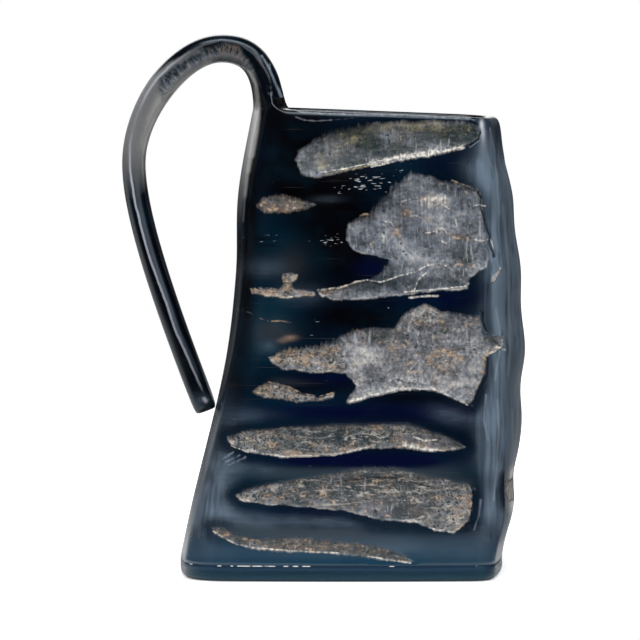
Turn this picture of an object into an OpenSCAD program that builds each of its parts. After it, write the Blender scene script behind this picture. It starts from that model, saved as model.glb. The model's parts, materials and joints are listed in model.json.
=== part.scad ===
// Horn drinking cup. One length of flattened horn stands on its wide end. A tongue of the same
// horn is bent over into the handle, and a flat plate of horn is let into the wide end as the floor.
// X runs from the handle to the far side, Y from the front face to the back, Z up from the table.

/* [Horn wall] */
// Height of the rim beside the handle
body_h = 139; // [130:1:155]
// Fall of the rim from the handle to the far side
rim_fall = 3; // [0:0.5:6]
// How far the wall stands straight above the floor plate
straight_h = 0.5; // [0:0.5:4]
// Height of the belly
belly_z = 22; // [18:1:30]
// Height of the waist
waist_z = 62; // [50:1:75]
// Height of the chest
chest_z = 90; // [82:1:96]
// Height of the shoulder
shoulder_z = 113; // [104:1:120]
// Wall thickness at the foot
wall_foot = 5.2; // [4:0.1:6]
// Wall thickness at the rim
wall_rim = 4.2; // [3:0.1:5]
// Rounding of the rim
rim_round = 1.2; // [0.6:0.1:1.4]

/* [Outline] */
// Reach of the foot on the handle side
foot_left = 48; // [44:0.2:52]
// Reach of the foot on the far side
foot_right = 48; // [44:0.2:52]
// Depth of the foot, front to back
foot_depth = 66; // [60:1:74]
// Reach of the belly on the handle side
belly_left = 44.4; // [40:0.2:48]
// Reach of the belly on the far side
belly_right = 52.4; // [48:0.2:56]
// How much less deep the belly is than the foot
belly_narrowing = 1; // [0:0.5:4]
// Reach of the waist on the handle side
waist_left = 34.8; // [32:0.2:40]
// Reach of the waist on the far side
waist_right = 56.2; // [50:0.2:58]
// How much less deep the waist is than the foot
waist_narrowing = 3; // [1:0.5:7]
// Reach of the chest on the handle side
chest_left = 31.4; // [28:0.2:36]
// Reach of the chest on the far side
chest_right = 55; // [49:0.2:57]
// How much less deep the chest is than the foot
chest_narrowing = 6; // [3:0.5:10]
// Reach of the shoulder on the handle side
shoulder_left = 30.8; // [27:0.2:34]
// Reach of the shoulder on the far side
shoulder_right = 52.2; // [47:0.2:55]
// How much less deep the shoulder is than the foot
shoulder_narrowing = 9; // [6:0.5:12]
// Reach of the rim on the handle side
rim_left = 26.2; // [24:0.2:29]
// Reach of the rim on the far side
rim_right = 46.8; // [43:0.2:51]
// How much less deep the rim is than the foot
rim_narrowing = 14; // [10:0.5:18]

/* [Section] */
// How much shallower the handle side is than the far side, taken off at the back
handle_side_taper = 9; // [4:0.5:12]
// How far the far side leans out from front to back at half height
far_side_flare = 9; // [2:0.5:12]
// How far the far side leans out at the foot and the rim
end_flare = 4; // [2:0.5:8]
// Swell of the middle of each face
face_crown = 1.2; // [0:0.1:2]
// Corner radius, front and handle side
radius_front_left = 13; // [11:0.5:15]
// Corner radius, front and far side
radius_front_right = 7; // [6:0.5:10]
// Corner radius, back and far side
radius_back_right = 11; // [8:0.5:14]
// Corner radius, back and handle side
radius_back_left = 14; // [11:0.5:15]

/* [Ridges and hollows] */
// Height of the growth ridges
ridge_height = 0.4; // [0:0.1:1]
// Spacing of the growth ridges
ridge_pitch = 24; // [16:0.5:28]
// Height of the lowest ridge
ridge_first = 18; // [12:0.5:24]
// Depth of the unpolished hollows between ridges
hollow_depth = 1; // [0:0.1:1.6]

/* [Handle] */
// Thickness of the tongue where it leaves the rim
strap_root_t = 7; // [6.4:0.1:9]
// Thickness of the tongue at the top of the arch
strap_arch_t = 8.5; // [7:0.1:9]
// Thickness of the tongue from the widest point of the loop to its tip
strap_tip_t = 6.8; // [5:0.1:8]
// Width of the tongue at the top of the arch
strap_w = 20; // [16:0.5:24]
// Width of the tongue at its tip
strap_tip_w = 13; // [10:0.5:16]
// Width of the fillet between the tongue and the rim, along the rim
root_fillet_w = 9; // [4:0.5:11]
// Height of the fillet between the tongue and the rim
root_fillet_h = 6; // [3:0.5:9]
// Height of the arch's middle line above the rim
arch_rise = 18.8; // [15:0.2:24]
// Distance from the tongue's root to the top of the arch
arch_back = 13; // [11:0.2:18]
// Distance from the tongue's root to the widest point of the loop
loop_reach = 39.2; // [34:0.2:48]
// Height of the widest point below the rim
loop_drop = 17; // [10:0.5:24]
// Height of the tip above the table
tip_z = 49.4; // [44:0.2:60]
// Lean of the tip's end from upright
tip_lean = 21; // [14:1:26]
// Gap between the tip and the wall that it bears against
tip_gap = 0.2; // [0.1:0.1:2]

/* [Floor] */
// Thickness of the plate that shows under the wall
plate_t = 4.5; // [3:0.1:6]
// Rounding of the plate's lower edge
plate_edge = 1.6; // [0.8:0.1:2]
// Height of the step that locates the plate inside the wall
step_h = 4; // [2:0.5:6]
// Gap between the step and the wall
step_gap = 0.15; // [0.1:0.05:0.3]
// Thickness of the glue between plate and wall
glue_t = 0.3; // [0.2:0.05:0.6]
// How far the glue stays in from the outside
glue_inset = 0.3; // [0.1:0.05:0.6]
// Width and height of the sealing bead inside
bead = 3; // [1.5:0.5:4]

/* [Hidden] */

horn_black = "#1b2026";
plate_black = "#1d232a";
glue_grey = "#8c8f8d";
bead_amber = "#5a4630";

// Steps in the surfaces
arc_steps = 6;
side_steps = [16, 8, 16, 6];
outer_levels = 36;
inner_levels = 10;
root_steps = 12;
arch_steps = 11;
limb_steps = 9;

// Heights that follow from the floor
wall_z = plate_t + glue_t;
foot_z = wall_z + straight_h;
step_top = plate_t + step_h;
bead_top = step_top + bead;

// Heights up the horn, each with its reach to the handle side, to the far side, and its depth
stations = [
  [foot_z, foot_left, foot_right, foot_depth],
  [belly_z, belly_left, belly_right, foot_depth - belly_narrowing],
  [waist_z, waist_left, waist_right, foot_depth - waist_narrowing],
  [chest_z, chest_left, chest_right, foot_depth - chest_narrowing],
  [shoulder_z, shoulder_left, shoulder_right, foot_depth - shoulder_narrowing],
  [body_h, rim_left, rim_right, foot_depth - rim_narrowing],
];
left_col = 1;
right_col = 2;
depth_col = 3;

// Hollows as [across, height, half length, half height, tilt]; across is X on the front and
// back faces and Y on the far side
front_hollows = [
  [15, 129, 27, 6, 11],
  [-14, 112, 12, 3, 3],
  [25, 102, 21, 17, 6],
  [-10, 86, 15, 3, 2],
  [17, 67, 31, 11, -2],
  [-12, 56, 13, 3, -4],
  [-1, 41, 33, 6, 1],
  [6, 25, 36, 8, -3],
  [-9, 11, 30, 3, -7],
];
back_hollows = [
  [12, 127, 23, 5, -7],
  [2, 107, 26, 7, 5],
  [20, 88, 22, 6, -4],
  [6, 66, 33, 9, 3],
  [-4, 45, 29, 6, -3],
  [8, 27, 35, 7, 4],
];
far_hollows = [
  [2, 118, 11, 5, 4],
  [-6, 80, 10, 4, -5],
  [5, 54, 16, 6, 3],
  [4, 28, 17, 5, -3],
];

function clamp01(t) = max(0, min(1, t));
function ease(t) = let (c = clamp01(t)) c * c * (3 - 2 * c);
function mix(a, b, t) = a + (b - a) * t;
function unit(v) = v / norm(v);
function sum(list, i = 0) = i < len(list) ? list[i] + sum(list, i + 1) : 0;

// Value at t of the smooth curve from p to q that leaves along u and arrives along v
function curve(p, q, u, v, t) =
  p * (1 + 2 * t) * pow(1 - t, 2) + q * t * t * (3 - 2 * t)
  + u * t * pow(1 - t, 2) - v * t * t * (1 - t);
function curve_slope(p, q, u, v, t) =
  (q - p) * 6 * t * (1 - t) + u * (1 - t) * (1 - 3 * t) - v * t * (2 - 3 * t);

// Reach or depth of the horn at height z
function grade(i, col) =
  let (a = max(i - 1, 0), b = min(i + 1, len(stations) - 1))
  (stations[b][col] - stations[a][col]) / (stations[b][0] - stations[a][0]);
function span_at(z, i = 0) = i == len(stations) - 2 || z < stations[i + 1][0] ? i : span_at(z, i + 1);
function size_at(z, col) =
  z <= foot_z ? stations[0][col]
  : let (i = span_at(z), a = stations[i], b = stations[i + 1], rise = b[0] - a[0])
    curve(a[col], b[col], grade(i, col) * rise, grade(i + 1, col) * rise, (z - a[0]) / rise);

// Arc that rounds the corner at c between the corners a and b, as [x, y, normal x, normal y]
function corner_arc(a, c, b, r) =
  let (
    u = unit(a - c),
    v = unit(b - c),
    half = acos(u * v) / 2,
    middle = c + unit(u + v) * r / sin(half),
    from = c + u * r / tan(half) - middle,
    start = atan2(from.y, from.x)
  )
  [for (i = [0:arc_steps])
    let (angle = start + (180 - 2 * half) * i / arc_steps, n = [cos(angle), sin(angle)])
    [middle.x + r * n.x, middle.y + r * n.y, n.x, n.y]];

// Points between two arcs, on a face with a slight crown
function face_points(a, b, steps) =
  let (n = [a[2] + b[2], a[3] + b[3]] / 2, out = unit(n))
  [for (i = [1:steps - 1])
    let (t = i / steps, swell = face_crown * 4 * t * (1 - t))
    [mix(a[0], b[0], t) + out.x * swell, mix(a[1], b[1], t) + out.y * swell, out.x, out.y]];

// Level outline of the horn's outside at height z, from the front left corner round to the left face
function outline(z) =
  let (
    left = size_at(z, left_col),
    right = size_at(z, right_col),
    far = size_at(z, depth_col) / 2,
    flare = mix(end_flare, far_side_flare, sin(180 * clamp01((z - foot_z) / (body_h - foot_z)))),
    corner = [[-left, -far], [right - flare, -far], [right, far], [-left, far - handle_side_taper]],
    radius = [radius_front_left, radius_front_right, radius_back_right, radius_back_left],
    arcs = [for (i = [0:3]) corner_arc(corner[(i + 3) % 4], corner[i], corner[(i + 1) % 4], radius[i])]
  )
  [for (i = [0:3])
    let (next = arcs[(i + 1) % 4])
    each concat(arcs[i], face_points(arcs[i][arc_steps], next[0], side_steps[i]))];

// Ridges and hollows of the outside, as a height above the plain outline
function dent(hollow, across, z) =
  let (
    x = across - hollow[0],
    y = z - hollow[1],
    along = (x * cos(hollow[4]) + y * sin(hollow[4])) / hollow[2],
    up = (y * cos(hollow[4]) - x * sin(hollow[4])) / hollow[3]
  )
  ease((1.3 - pow(along, 4) - up * up) / 0.9);
ridge_fade = 9;
function dents(hollows, across, z) = sum([for (h = hollows) dent(h, across, z)]);
function carving(p, z, top) =
  let (
    face = ease((p[2] + 0.6) / 0.6),
    ends = ease((z - foot_z) / ridge_fade) * ease((top - z) / ridge_fade),
    ridge = ridge_height * cos(360 * (z - ridge_first) / ridge_pitch) * face * ends,
    front = dents(front_hollows, p[0], z) * ease((-p[3] - 0.5) / 0.4),
    back = dents(back_hollows, p[0], z) * ease((p[3] - 0.5) / 0.4),
    far = 0.5 * dents(far_hollows, p[1], z) * ease((p[2] - 0.5) / 0.4)
  )
  ridge - hollow_depth * clamp01(front + back + far) * ease((z - wall_z) / 3) * ease((top - z) / 4);

// Wall thickness, which grows on the handle side to the thickness of the tongue
function wall_at(p, z) =
  mix(wall_foot, wall_rim, clamp01((z - foot_z) / (body_h - foot_z)))
  + (strap_root_t - wall_rim) * ease((z - waist_z) / (body_h - waist_z)) * ease(-p[2]);

function rim_z(p) = body_h - rim_fall * (p[0] + rim_left) / (rim_left + rim_right);
function inset(p, d, z) = [p[0] - p[2] * d, p[1] - p[3] * d, z];

// Rings of the shell: up the outside, over the rim, down the inside
foot_line = outline(foot_z);
rim_line = outline(body_h);
count = len(rim_line);

function outer_ring(i) =
  let (t = i / outer_levels, line = outline(mix(wall_z, body_h - rim_round, t)))
  [for (j = [0:count - 1])
    let (p = line[j], top = rim_z(rim_line[j]), z = mix(wall_z, top - rim_round, t))
    inset(p, -carving(p, z, top), z)];
function rim_ring(depth_share, drop) =
  [for (p = rim_line)
    inset(p, mix(rim_round, wall_at(p, body_h) - rim_round, depth_share), rim_z(p) - drop)];
function inner_ring(i) =
  let (t = i / inner_levels, z_in = mix(bead_top, body_h - rim_round, t), line = outline(z_in))
  [for (j = [0:count - 1])
    let (p = i == 0 ? foot_line[j] : line[j], top = rim_z(rim_line[j]) - rim_round)
    inset(p, i == 0 ? wall_foot : wall_at(p, z_in), mix(bead_top, top, t))];
foot_inner = [for (p = foot_line) inset(p, wall_foot, wall_z)];

shell_rings = concat(
  [for (i = [0:outer_levels]) outer_ring(i)],
  [rim_ring(0, 0), rim_ring(1, 0)],
  [for (i = [inner_levels:-1:0]) inner_ring(i)],
  [foot_inner]
);
ring_count = len(shell_rings);
rim_outer = outer_levels;
rim_inner = outer_levels + 3;

// The tongue grows from the rim between the far ends of the two corners on the handle side
tongue_front = arc_steps - 1;
tongue_back = count - side_steps[3] - tongue_front;
tongue_count = count - tongue_back + tongue_front + 1;
function rim_index(k) = (tongue_back + k) % count;

// Middle line of the tongue, in X and Z, in a plane through the middle of the handle side
handle_y = -handle_side_taper / 2;
root = [-rim_left - face_crown + strap_root_t / 2, body_h - rim_round];
arch = root + [-arch_back, arch_rise];
widest = [root.x - loop_reach, body_h - loop_drop];
tip_wall = -size_at(tip_z + strap_tip_t / 2 * sin(tip_lean), left_col) - face_crown;
tip = [tip_wall - tip_gap - strap_tip_t / 2 * cos(tip_lean), tip_z];
root_pull = 2.3;
arch_pull = 1.9;
shoulder_pull = 1.4;
limb_pull = 0.7;
root_way = [0, root_pull * (arch.y - root.y)];
arch_way_in = [-arch_pull * arch_back, 0];
arch_way_out = [-shoulder_pull * (arch.x - widest.x), 0];
widest_way_in = [0, -shoulder_pull * (arch.y - widest.y)];
limb = widest.y - tip.y;
widest_way_out = [0, -limb_pull * limb];
tip_way = limb * [sin(tip_lean), -cos(tip_lean)];

// Stops along the tongue: [middle, direction, distance from the root, share of the way to the tip]
root_length = norm(arch - root) * 1.1;
function stop(p, q, u, v, t, distance, share) =
  [curve(p, q, u, v, t), unit(curve_slope(p, q, u, v, t)), distance, share];
tongue_stops = concat(
  [for (i = [1:root_steps]) let (t = pow(i / root_steps, 1.6))
    stop(root, arch, root_way, arch_way_in, t, t * root_length, 0)],
  [for (i = [1:arch_steps]) let (t = i / arch_steps)
    stop(arch, widest, arch_way_out, widest_way_in, t, root_length, t * 0.4)],
  [for (i = [1:limb_steps]) let (t = i / limb_steps)
    stop(widest, tip, widest_way_out, tip_way, t, root_length, 0.4 + t * 0.6)]
);

// Section of the tongue as [across, out of the loop]: first the shape that it has in the wall,
// trimmed by k, and then the rounded strap
tongue_line = [for (k = [0:tongue_count - 1]) rim_line[rim_index(k)]];
tongue_arc = sum([for (k = [1:tongue_count - 1])
  norm([tongue_line[k][0] - tongue_line[k - 1][0], tongue_line[k][1] - tongue_line[k - 1][1]])]);
function between(list, f) = let (i = min(floor(f), len(list) - 2)) mix(list[i], list[i + 1], f - i);
function wall_section(k, inside, trim) =
  let (
    half = (tongue_count - 1) / 2,
    p = between(tongue_line, half + (k - half) * trim),
    d = inside * wall_at(p, body_h)
  )
  [p[1] - p[3] * d - handle_y, p[0] - p[2] * d - root.x];
squareness = 4;
edge_share = 0.95;
function strap_section(k, inside, w, t) =
  let (
    v = 2 * k / (tongue_count - 1) - 1,
    n = pow(1 - pow(abs(edge_share * v), squareness), 1 / squareness)
  )
  [-v * w / 2, (2 * inside - 1) * n * t / 2];

function tongue_ring(s) =
  let (
    rise = clamp01(s[2] / root_fillet_h),
    trim = 1 - 2 * root_fillet_w / tongue_arc * sqrt(1 - pow(1 - rise, 2)),
    blend = ease((s[2] - root_fillet_h / 3) / (root_length * 0.7)),
    w = mix(strap_w, strap_tip_w, s[3]),
    t = mix(strap_arch_t, strap_tip_t, ease((s[3] - 0.15) / 0.25)),
    last = tongue_count - 1,
    section = function(k, inside)
      mix(wall_section(k, inside, trim), strap_section(k, inside, w, t), blend),
    front = [section(last, 0), section(last, 1)],
    back = [section(0, 0), section(0, 1)],
    bow = [0.06 * t, 0],
    loop = concat(
      [for (k = [0:last]) section(k, 0)],
      [mix(front[0], front[1], 0.25) - bow, mix(front[0], front[1], 0.75) - bow],
      [for (k = [last:-1:0]) section(k, 1)],
      [mix(back[1], back[0], 0.25) + bow, mix(back[1], back[0], 0.75) + bow]
    ),
    out = [s[1].y, -s[1].x]
  )
  [for (q = loop) [s[0].x + out.x * q[1], handle_y + q[0], s[0].y + out.y * q[1]]];

// The tip is eased off at its end
tip_ease = 1.2;
tip_shrink = 0.82;
tip_ring = tongue_ring(tongue_stops[len(tongue_stops) - 1]);
function points_sum(list, i = 0) = i < len(list) - 1 ? list[i] + points_sum(list, i + 1) : list[i];

module horn_body() {
  tongue_rings = [for (s = tongue_stops) tongue_ring(s)];
  middle = points_sum(tip_ring) / len(tip_ring);
  end_ring = [for (p = tip_ring)
    middle + (p - middle) * tip_shrink + tip_ease * [sin(tip_lean), 0, -cos(tip_lean)]];
  loop_count = len(tip_ring);
  shell_points = [for (ring = shell_rings) each ring];
  points = concat(shell_points, [for (ring = tongue_rings) each ring], end_ring);
  last = tongue_count - 1;
  root_loop = concat(
    [for (k = [0:last]) rim_outer * count + rim_index(k)],
    [(rim_outer + 1) * count + rim_index(last), (rim_outer + 2) * count + rim_index(last)],
    [for (k = [last:-1:0]) rim_inner * count + rim_index(k)],
    [(rim_outer + 2) * count + rim_index(0), (rim_outer + 1) * count + rim_index(0)]
  );
  function tongue_index(i, q) =
    let (n = q % loop_count)
    i == 0 ? root_loop[n] : len(shell_points) + (i - 1) * loop_count + n;
  function in_tongue(j) = (j + count - tongue_back) % count < last;
  shell_faces = [for (i = [0:ring_count - 1], j = [0:count - 1])
    let (up = (i + 1) % ring_count, next = (j + 1) % count)
    if (i < rim_outer || i >= rim_inner || !in_tongue(j))
      [i * count + j, up * count + j, up * count + next, i * count + next]];
  tongue_faces = [for (i = [0:len(tongue_rings)], q = [0:loop_count - 1])
    [tongue_index(i, q), tongue_index(i + 1, q), tongue_index(i + 1, q + 1), tongue_index(i, q + 1)]];
  tip_face = [for (q = [loop_count - 1:-1:0]) tongue_index(len(tongue_rings) + 1, q)];
  color(horn_black) polyhedron(points, concat(shell_faces, tongue_faces, [tip_face]), convexity = 8);
}

// Outline of the foot, drawn in by d, as a flat shape
module foot_shape(d) {
  polygon([for (p = foot_line) [p[0] - p[2] * d, p[1] - p[3] * d]]);
}

module floor_plate() {
  color(plate_black) union() {
    hull() {
      linear_extrude(plate_edge) foot_shape(plate_edge);
      translate([0, 0, plate_edge * 0.3]) linear_extrude(plate_edge) foot_shape(plate_edge * 0.3);
      translate([0, 0, plate_edge]) linear_extrude(plate_t - plate_edge) foot_shape(0);
    }
    linear_extrude(step_top) foot_shape(wall_foot + step_gap);
  }
}

module glue_line() {
  color(glue_grey) translate([0, 0, plate_t]) linear_extrude(glue_t) difference() {
    foot_shape(glue_inset);
    foot_shape(wall_foot + step_gap);
  }
}

module seal_bead() {
  n = count;
  points = concat(
    [for (p = foot_line) inset(p, wall_foot, step_top)],
    [for (p = foot_line) inset(p, wall_foot, bead_top)],
    [for (p = foot_line) inset(p, wall_foot + bead, step_top)]
  );
  faces = [for (i = [0:2], j = [0:n - 1])
    let (up = (i + 1) % 3, next = (j + 1) % n)
    [i * n + j, up * n + j, up * n + next, i * n + next]];
  color(bead_amber) polyhedron(points, faces, convexity = 4);
}

horn_body();
floor_plate();
glue_line();
seal_bead();
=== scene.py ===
import json
import math
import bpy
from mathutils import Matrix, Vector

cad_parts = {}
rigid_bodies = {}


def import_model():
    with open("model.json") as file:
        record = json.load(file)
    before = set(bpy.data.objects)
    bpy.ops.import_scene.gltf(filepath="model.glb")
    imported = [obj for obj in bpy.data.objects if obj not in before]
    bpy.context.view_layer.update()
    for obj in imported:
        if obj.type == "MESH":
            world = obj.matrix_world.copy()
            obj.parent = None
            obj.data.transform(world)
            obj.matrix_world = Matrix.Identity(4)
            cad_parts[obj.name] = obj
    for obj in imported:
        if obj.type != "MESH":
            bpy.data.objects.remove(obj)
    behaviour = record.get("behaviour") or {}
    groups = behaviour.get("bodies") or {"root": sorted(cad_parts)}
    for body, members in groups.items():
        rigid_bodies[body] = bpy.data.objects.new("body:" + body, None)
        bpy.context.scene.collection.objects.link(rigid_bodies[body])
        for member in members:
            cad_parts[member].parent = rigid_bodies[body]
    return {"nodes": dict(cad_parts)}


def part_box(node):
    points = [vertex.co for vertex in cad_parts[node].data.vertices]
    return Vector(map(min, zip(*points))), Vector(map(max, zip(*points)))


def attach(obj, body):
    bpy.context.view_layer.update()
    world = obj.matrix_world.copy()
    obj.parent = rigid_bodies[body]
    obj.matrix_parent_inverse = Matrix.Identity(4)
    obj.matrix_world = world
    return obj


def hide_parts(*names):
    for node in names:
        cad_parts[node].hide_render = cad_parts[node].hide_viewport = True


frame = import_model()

from types import SimpleNamespace
import bpy
import bmesh
import numpy as np
from mathutils import Vector, geometry, noise

scene = bpy.context.scene
scene.view_settings.view_transform = "Standard"
mm = 0.001
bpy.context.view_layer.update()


# camera, fitted to the picture
picture = {
    "side": 640,                     # px, square picture
    "eye": (-7.5, -1600.0, 167.0),   # mm
    "aim": (-7.5, 0.0, 75.2),        # mm, middle of the picture
    "across": 191.6,                 # mm seen at the aim
    "pxPerMm": 3.4,                  # on the front face
    "sensor": 36,                    # mm
    "clipEnd": 20,                   # m
}
pxPerMm = picture["pxPerMm"]
eyeAt = Vector(picture["eye"]) * mm
aimAt = Vector(picture["aim"]) * mm
throwLength = (aimAt - eyeAt).length


def addObject(name, data):
    obj = bpy.data.objects.new(name, data)
    scene.collection.objects.link(obj)
    return obj


def point(obj, at, target):
    obj.location = at
    obj.rotation_euler = (Vector(target) - Vector(at)).to_track_quat("-Z", "Y").to_euler()


def placeCamera():
    lens = bpy.data.cameras.new("cupCamera")
    lens.sensor_width = picture["sensor"]
    lens.lens = picture["sensor"] * throwLength / (picture["across"] * mm)
    lens.clip_end = picture["clipEnd"]
    cam = addObject("cupCamera", lens)
    point(cam, eyeAt, aimAt)
    bpy.context.scene.camera = cam


def photoSpot(points):
    # where points in metres land in the picture, in px
    ahead = (aimAt - eyeAt).normalized()
    right = ahead.cross(Vector((0, 0, 1))).normalized()
    up = right.cross(ahead)
    rel = points - np.array(eyeAt)
    depth = rel @ np.array(ahead)
    pxPerUnit = picture["side"] * throwLength / (picture["across"] * mm)
    u = picture["side"] / 2 + pxPerUnit * (rel @ np.array(right)) / depth
    v = picture["side"] / 2 - pxPerUnit * (rel @ np.array(up)) / depth
    return np.stack([u, v], 1)


placeCamera()
print("camera placed")


# node helpers
tree = None    # the node tree in hand


def takeTree(owner):
    global tree
    owner.use_nodes = True
    tree = owner.node_tree
    tree.nodes.clear()
    return owner


def newFinish(name):
    return takeTree(bpy.data.materials.new(name))


def put(socket, value):
    if isinstance(value, bpy.types.NodeSocket):
        tree.links.new(value, socket)
    elif socket.type == "RGBA":
        socket.default_value = (*value, 1.0)
    else:
        socket.default_value = value


def node(kind, sockets, **settings):
    n = tree.nodes.new("ShaderNode" + kind)
    for key, value in settings.items():
        setattr(n, key, value)
    for key, value in sockets.items():
        put(n.inputs[key], value)
    return n


def calc(what, a, b=0.0, clamp=False):
    return node("Math", {0: a, 1: b}, operation=what, use_clamp=clamp).outputs[0]


def stepUp(value, low, high, out=(0.0, 1.0)):
    ends = {"Value": value, "From Min": low, "From Max": high, "To Min": out[0], "To Max": out[1]}
    return node("MapRange", ends, interpolation_type="SMOOTHSTEP").outputs["Result"]


def chain(what, first, *rest):
    for item in rest:
        first = calc(what, first, item)
    return first


def total(*items):
    return chain("ADD", *items)


def times(*items):
    return chain("MULTIPLY", *items)


def most(*items):
    return chain("MAXIMUM", *items)


def swing(value, amount):
    # how far a noise is from its middle
    return times(calc("SUBTRACT", value, 0.5), amount)


def blendColour(share, a, b):
    return node("Mix", {0: share, 6: a, 7: b}, data_type="RGBA").outputs[2]


def coated(colour, *coats):
    # share and tone of each coat, the last one on top
    for share, tone in coats:
        colour = blendColour(share, colour, tone)
    return colour


def ramp(value, stops):
    n = node("ValToRGB", {"Fac": value})
    bar = n.color_ramp.elements
    bar[0].position, bar[1].position = stops[0][0], stops[-1][0]
    for place, tone in stops[1:-1]:
        bar.new(place)
    for knob, (place, tone) in zip(bar, stops):
        knob.color = (*tone, 1.0)
    return n.outputs["Color"]


def pull(vector, stretch, shift=(0, 0, 0)):
    return node("Mapping", {"Vector": vector, "Scale": stretch, "Location": shift}).outputs["Vector"]


def cloud(vector, stretch, shift=(0, 0, 0), detail=1, rough=0.5, twist=0.0):
    look = {"Vector": pull(vector, stretch, shift), "Scale": 1.0, "Detail": detail, "Roughness": rough,
            "Distortion": twist}
    return node("TexNoise", look).outputs["Fac"]


def cells(vector):
    return node("TexVoronoi", {"Vector": vector, "Scale": 1.0}, feature="DISTANCE_TO_EDGE").outputs["Distance"]


def cellTone(vector):
    # one random tone for each cell
    return calc("ADD", node("TexVoronoi", {"Vector": vector, "Scale": 1.0}).outputs["Color"])


def bent(vector, scale, detail, reach):
    # a vector that wanders by up to reach
    swirl = node("TexNoise", {"Vector": vector, "Scale": scale, "Detail": detail})
    way = {0: swirl.outputs["Color"], 1: (reach, reach, reach), 2: vector}
    return node("VectorMath", way, operation="MULTIPLY_ADD").outputs[0]


def painted(name, output="Fac"):
    return node("Attribute", {}, attribute_name=name).outputs[output]


def inMm():
    at = node("TexCoord", {}).outputs["Object"]
    return node("VectorMath", {0: at, "Scale": 1 / mm}, operation="SCALE").outputs[0]


def axisOf(vector, axis):
    return node("SeparateXYZ", {0: vector}).outputs[axis]


def bumps(height, depth, strength, onto=None):
    n = node("Bump", {"Height": height, "Distance": depth * mm, "Strength": strength})
    if onto is not None:
        put(n.inputs["Normal"], onto)
    return n.outputs["Normal"]


def shell(colour, rough, normal, **fixed):
    look = {"Base Color": colour, "Roughness": rough, "Normal": normal}
    look.update((key.replace("_", " "), value) for key, value in fixed.items())
    node("OutputMaterial", {"Surface": node("BsdfPrincipled", look).outputs[0]})


# hollows left rough by the polishing wheel: their kind, then their outlines as they lie in the picture, px
hollowKinds = ("deep", "crackle", "layered", "tan", "pale", "soft")
hollows = {
    "topHollow": ((0.8, 0.0, 0.1, 0.1, -0.14, 0.25), [
        (294, 160), (302, 175), (318, 179), (342, 173), (371, 167), (396, 162), (424, 159), (461, 150),
        (479, 139), (480, 126), (465, 120), (434, 119), (404, 120), (363, 122), (334, 128), (312, 139),
        (298, 150)]),
    "wideHollow": ((0.8, 0.0, 0.0, 0.05, 0.05, 0.12), [
        (410, 170), (440, 178), (465, 184), (481, 191), (483, 202), (485, 231), (489, 254), (487, 268),
        (471, 278), (468, 290), (434, 292), (404, 296), (363, 300), (334, 301), (318, 296), (316, 290),
        (334, 288), (363, 280), (381, 272), (389, 260), (363, 254), (353, 251), (345, 239), (347, 223),
        (367, 211), (383, 194), (398, 180)]),
    "leftFleck": ((0.3, 0.1, 0.2, 0.9, -0.3, 0.3), [
        (254, 205), (262, 197), (275, 193), (291, 195), (304, 199), (318, 205), (305, 210), (288, 213),
        (270, 214), (259, 211)]),
    "leftStrip": ((0.25, 0.9, 0.2, 1.0, 0.45, 0.1), [
        (249, 288), (262, 286), (278, 288), (284, 284), (281, 279), (283, 273), (291, 271), (299, 274),
        (297, 280), (292, 284), (295, 288), (316, 290), (316, 297), (300, 298), (285, 299), (268, 297),
        (252, 294)]),
    "middleHollow": ((0.7, 0.38, 0.0, 0.24, 0.24, 0.12), [
        (268, 357), (281, 348), (321, 343), (354, 328), (394, 327), (406, 311), (425, 302), (441, 311),
        (479, 315), (484, 334), (505, 335), (504, 348), (486, 358), (485, 374), (470, 406), (453, 400),
        (434, 391), (401, 391), (371, 398), (349, 404), (345, 402), (356, 386), (345, 374), (312, 373),
        (283, 370), (272, 364)]),
    "middleFleck": ((0.4, 0.9, 0.1, 0.6, -0.3, 0.2), [
        (250, 392), (262, 383), (275, 381), (288, 385), (300, 392), (318, 396), (335, 392), (334, 399),
        (320, 402), (300, 403), (276, 400), (256, 396)]),
    "lowHollow": ((0.7, 0.6, 0.5, 0.38, -0.25, 0.1), [
        (227, 436), (241, 431), (293, 426), (354, 424), (406, 423), (422, 427), (438, 433), (451, 438),
        (461, 443), (466, 447), (457, 450), (444, 452), (418, 451), (392, 448), (366, 449), (335, 456),
        (288, 458), (248, 453), (229, 443)]),
    "footHollow": ((0.8, 0.35, 0.7, 0.34, -0.22, 0.05), [
        (234, 495), (248, 488), (283, 481), (321, 474), (364, 466), (394, 466), (434, 476), (470, 483),
        (473, 495), (470, 521), (453, 534), (434, 531), (415, 523), (378, 520), (349, 512), (312, 508),
        (264, 505), (241, 501)]),
    "seamHollow": ((0.5, 0.2, 0.3, 0.4, -0.7, 0.2), [
        (211, 527), (220, 526), (236, 533), (255, 537), (285, 536), (315, 537), (350, 541), (380, 545),
        (402, 552), (415, 561), (408, 564), (385, 561), (357, 556), (330, 554), (300, 553), (270, 552),
        (245, 548), (226, 541), (214, 534)]),
    "cornerSliver": ((0.15, 0.0, 0.0, 0.4, 0.5, 0.0), [
        (489, 286), (491, 278), (497, 270), (503, 262), (502, 270), (495, 282)]),
    "sideScar": ((0.3, 0.4, 0.2, 0.6, 0.7, 0.15), [
        (507, 480), (514, 476), (517, 486), (515, 500), (508, 502), (505, 492)]),
}
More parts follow.
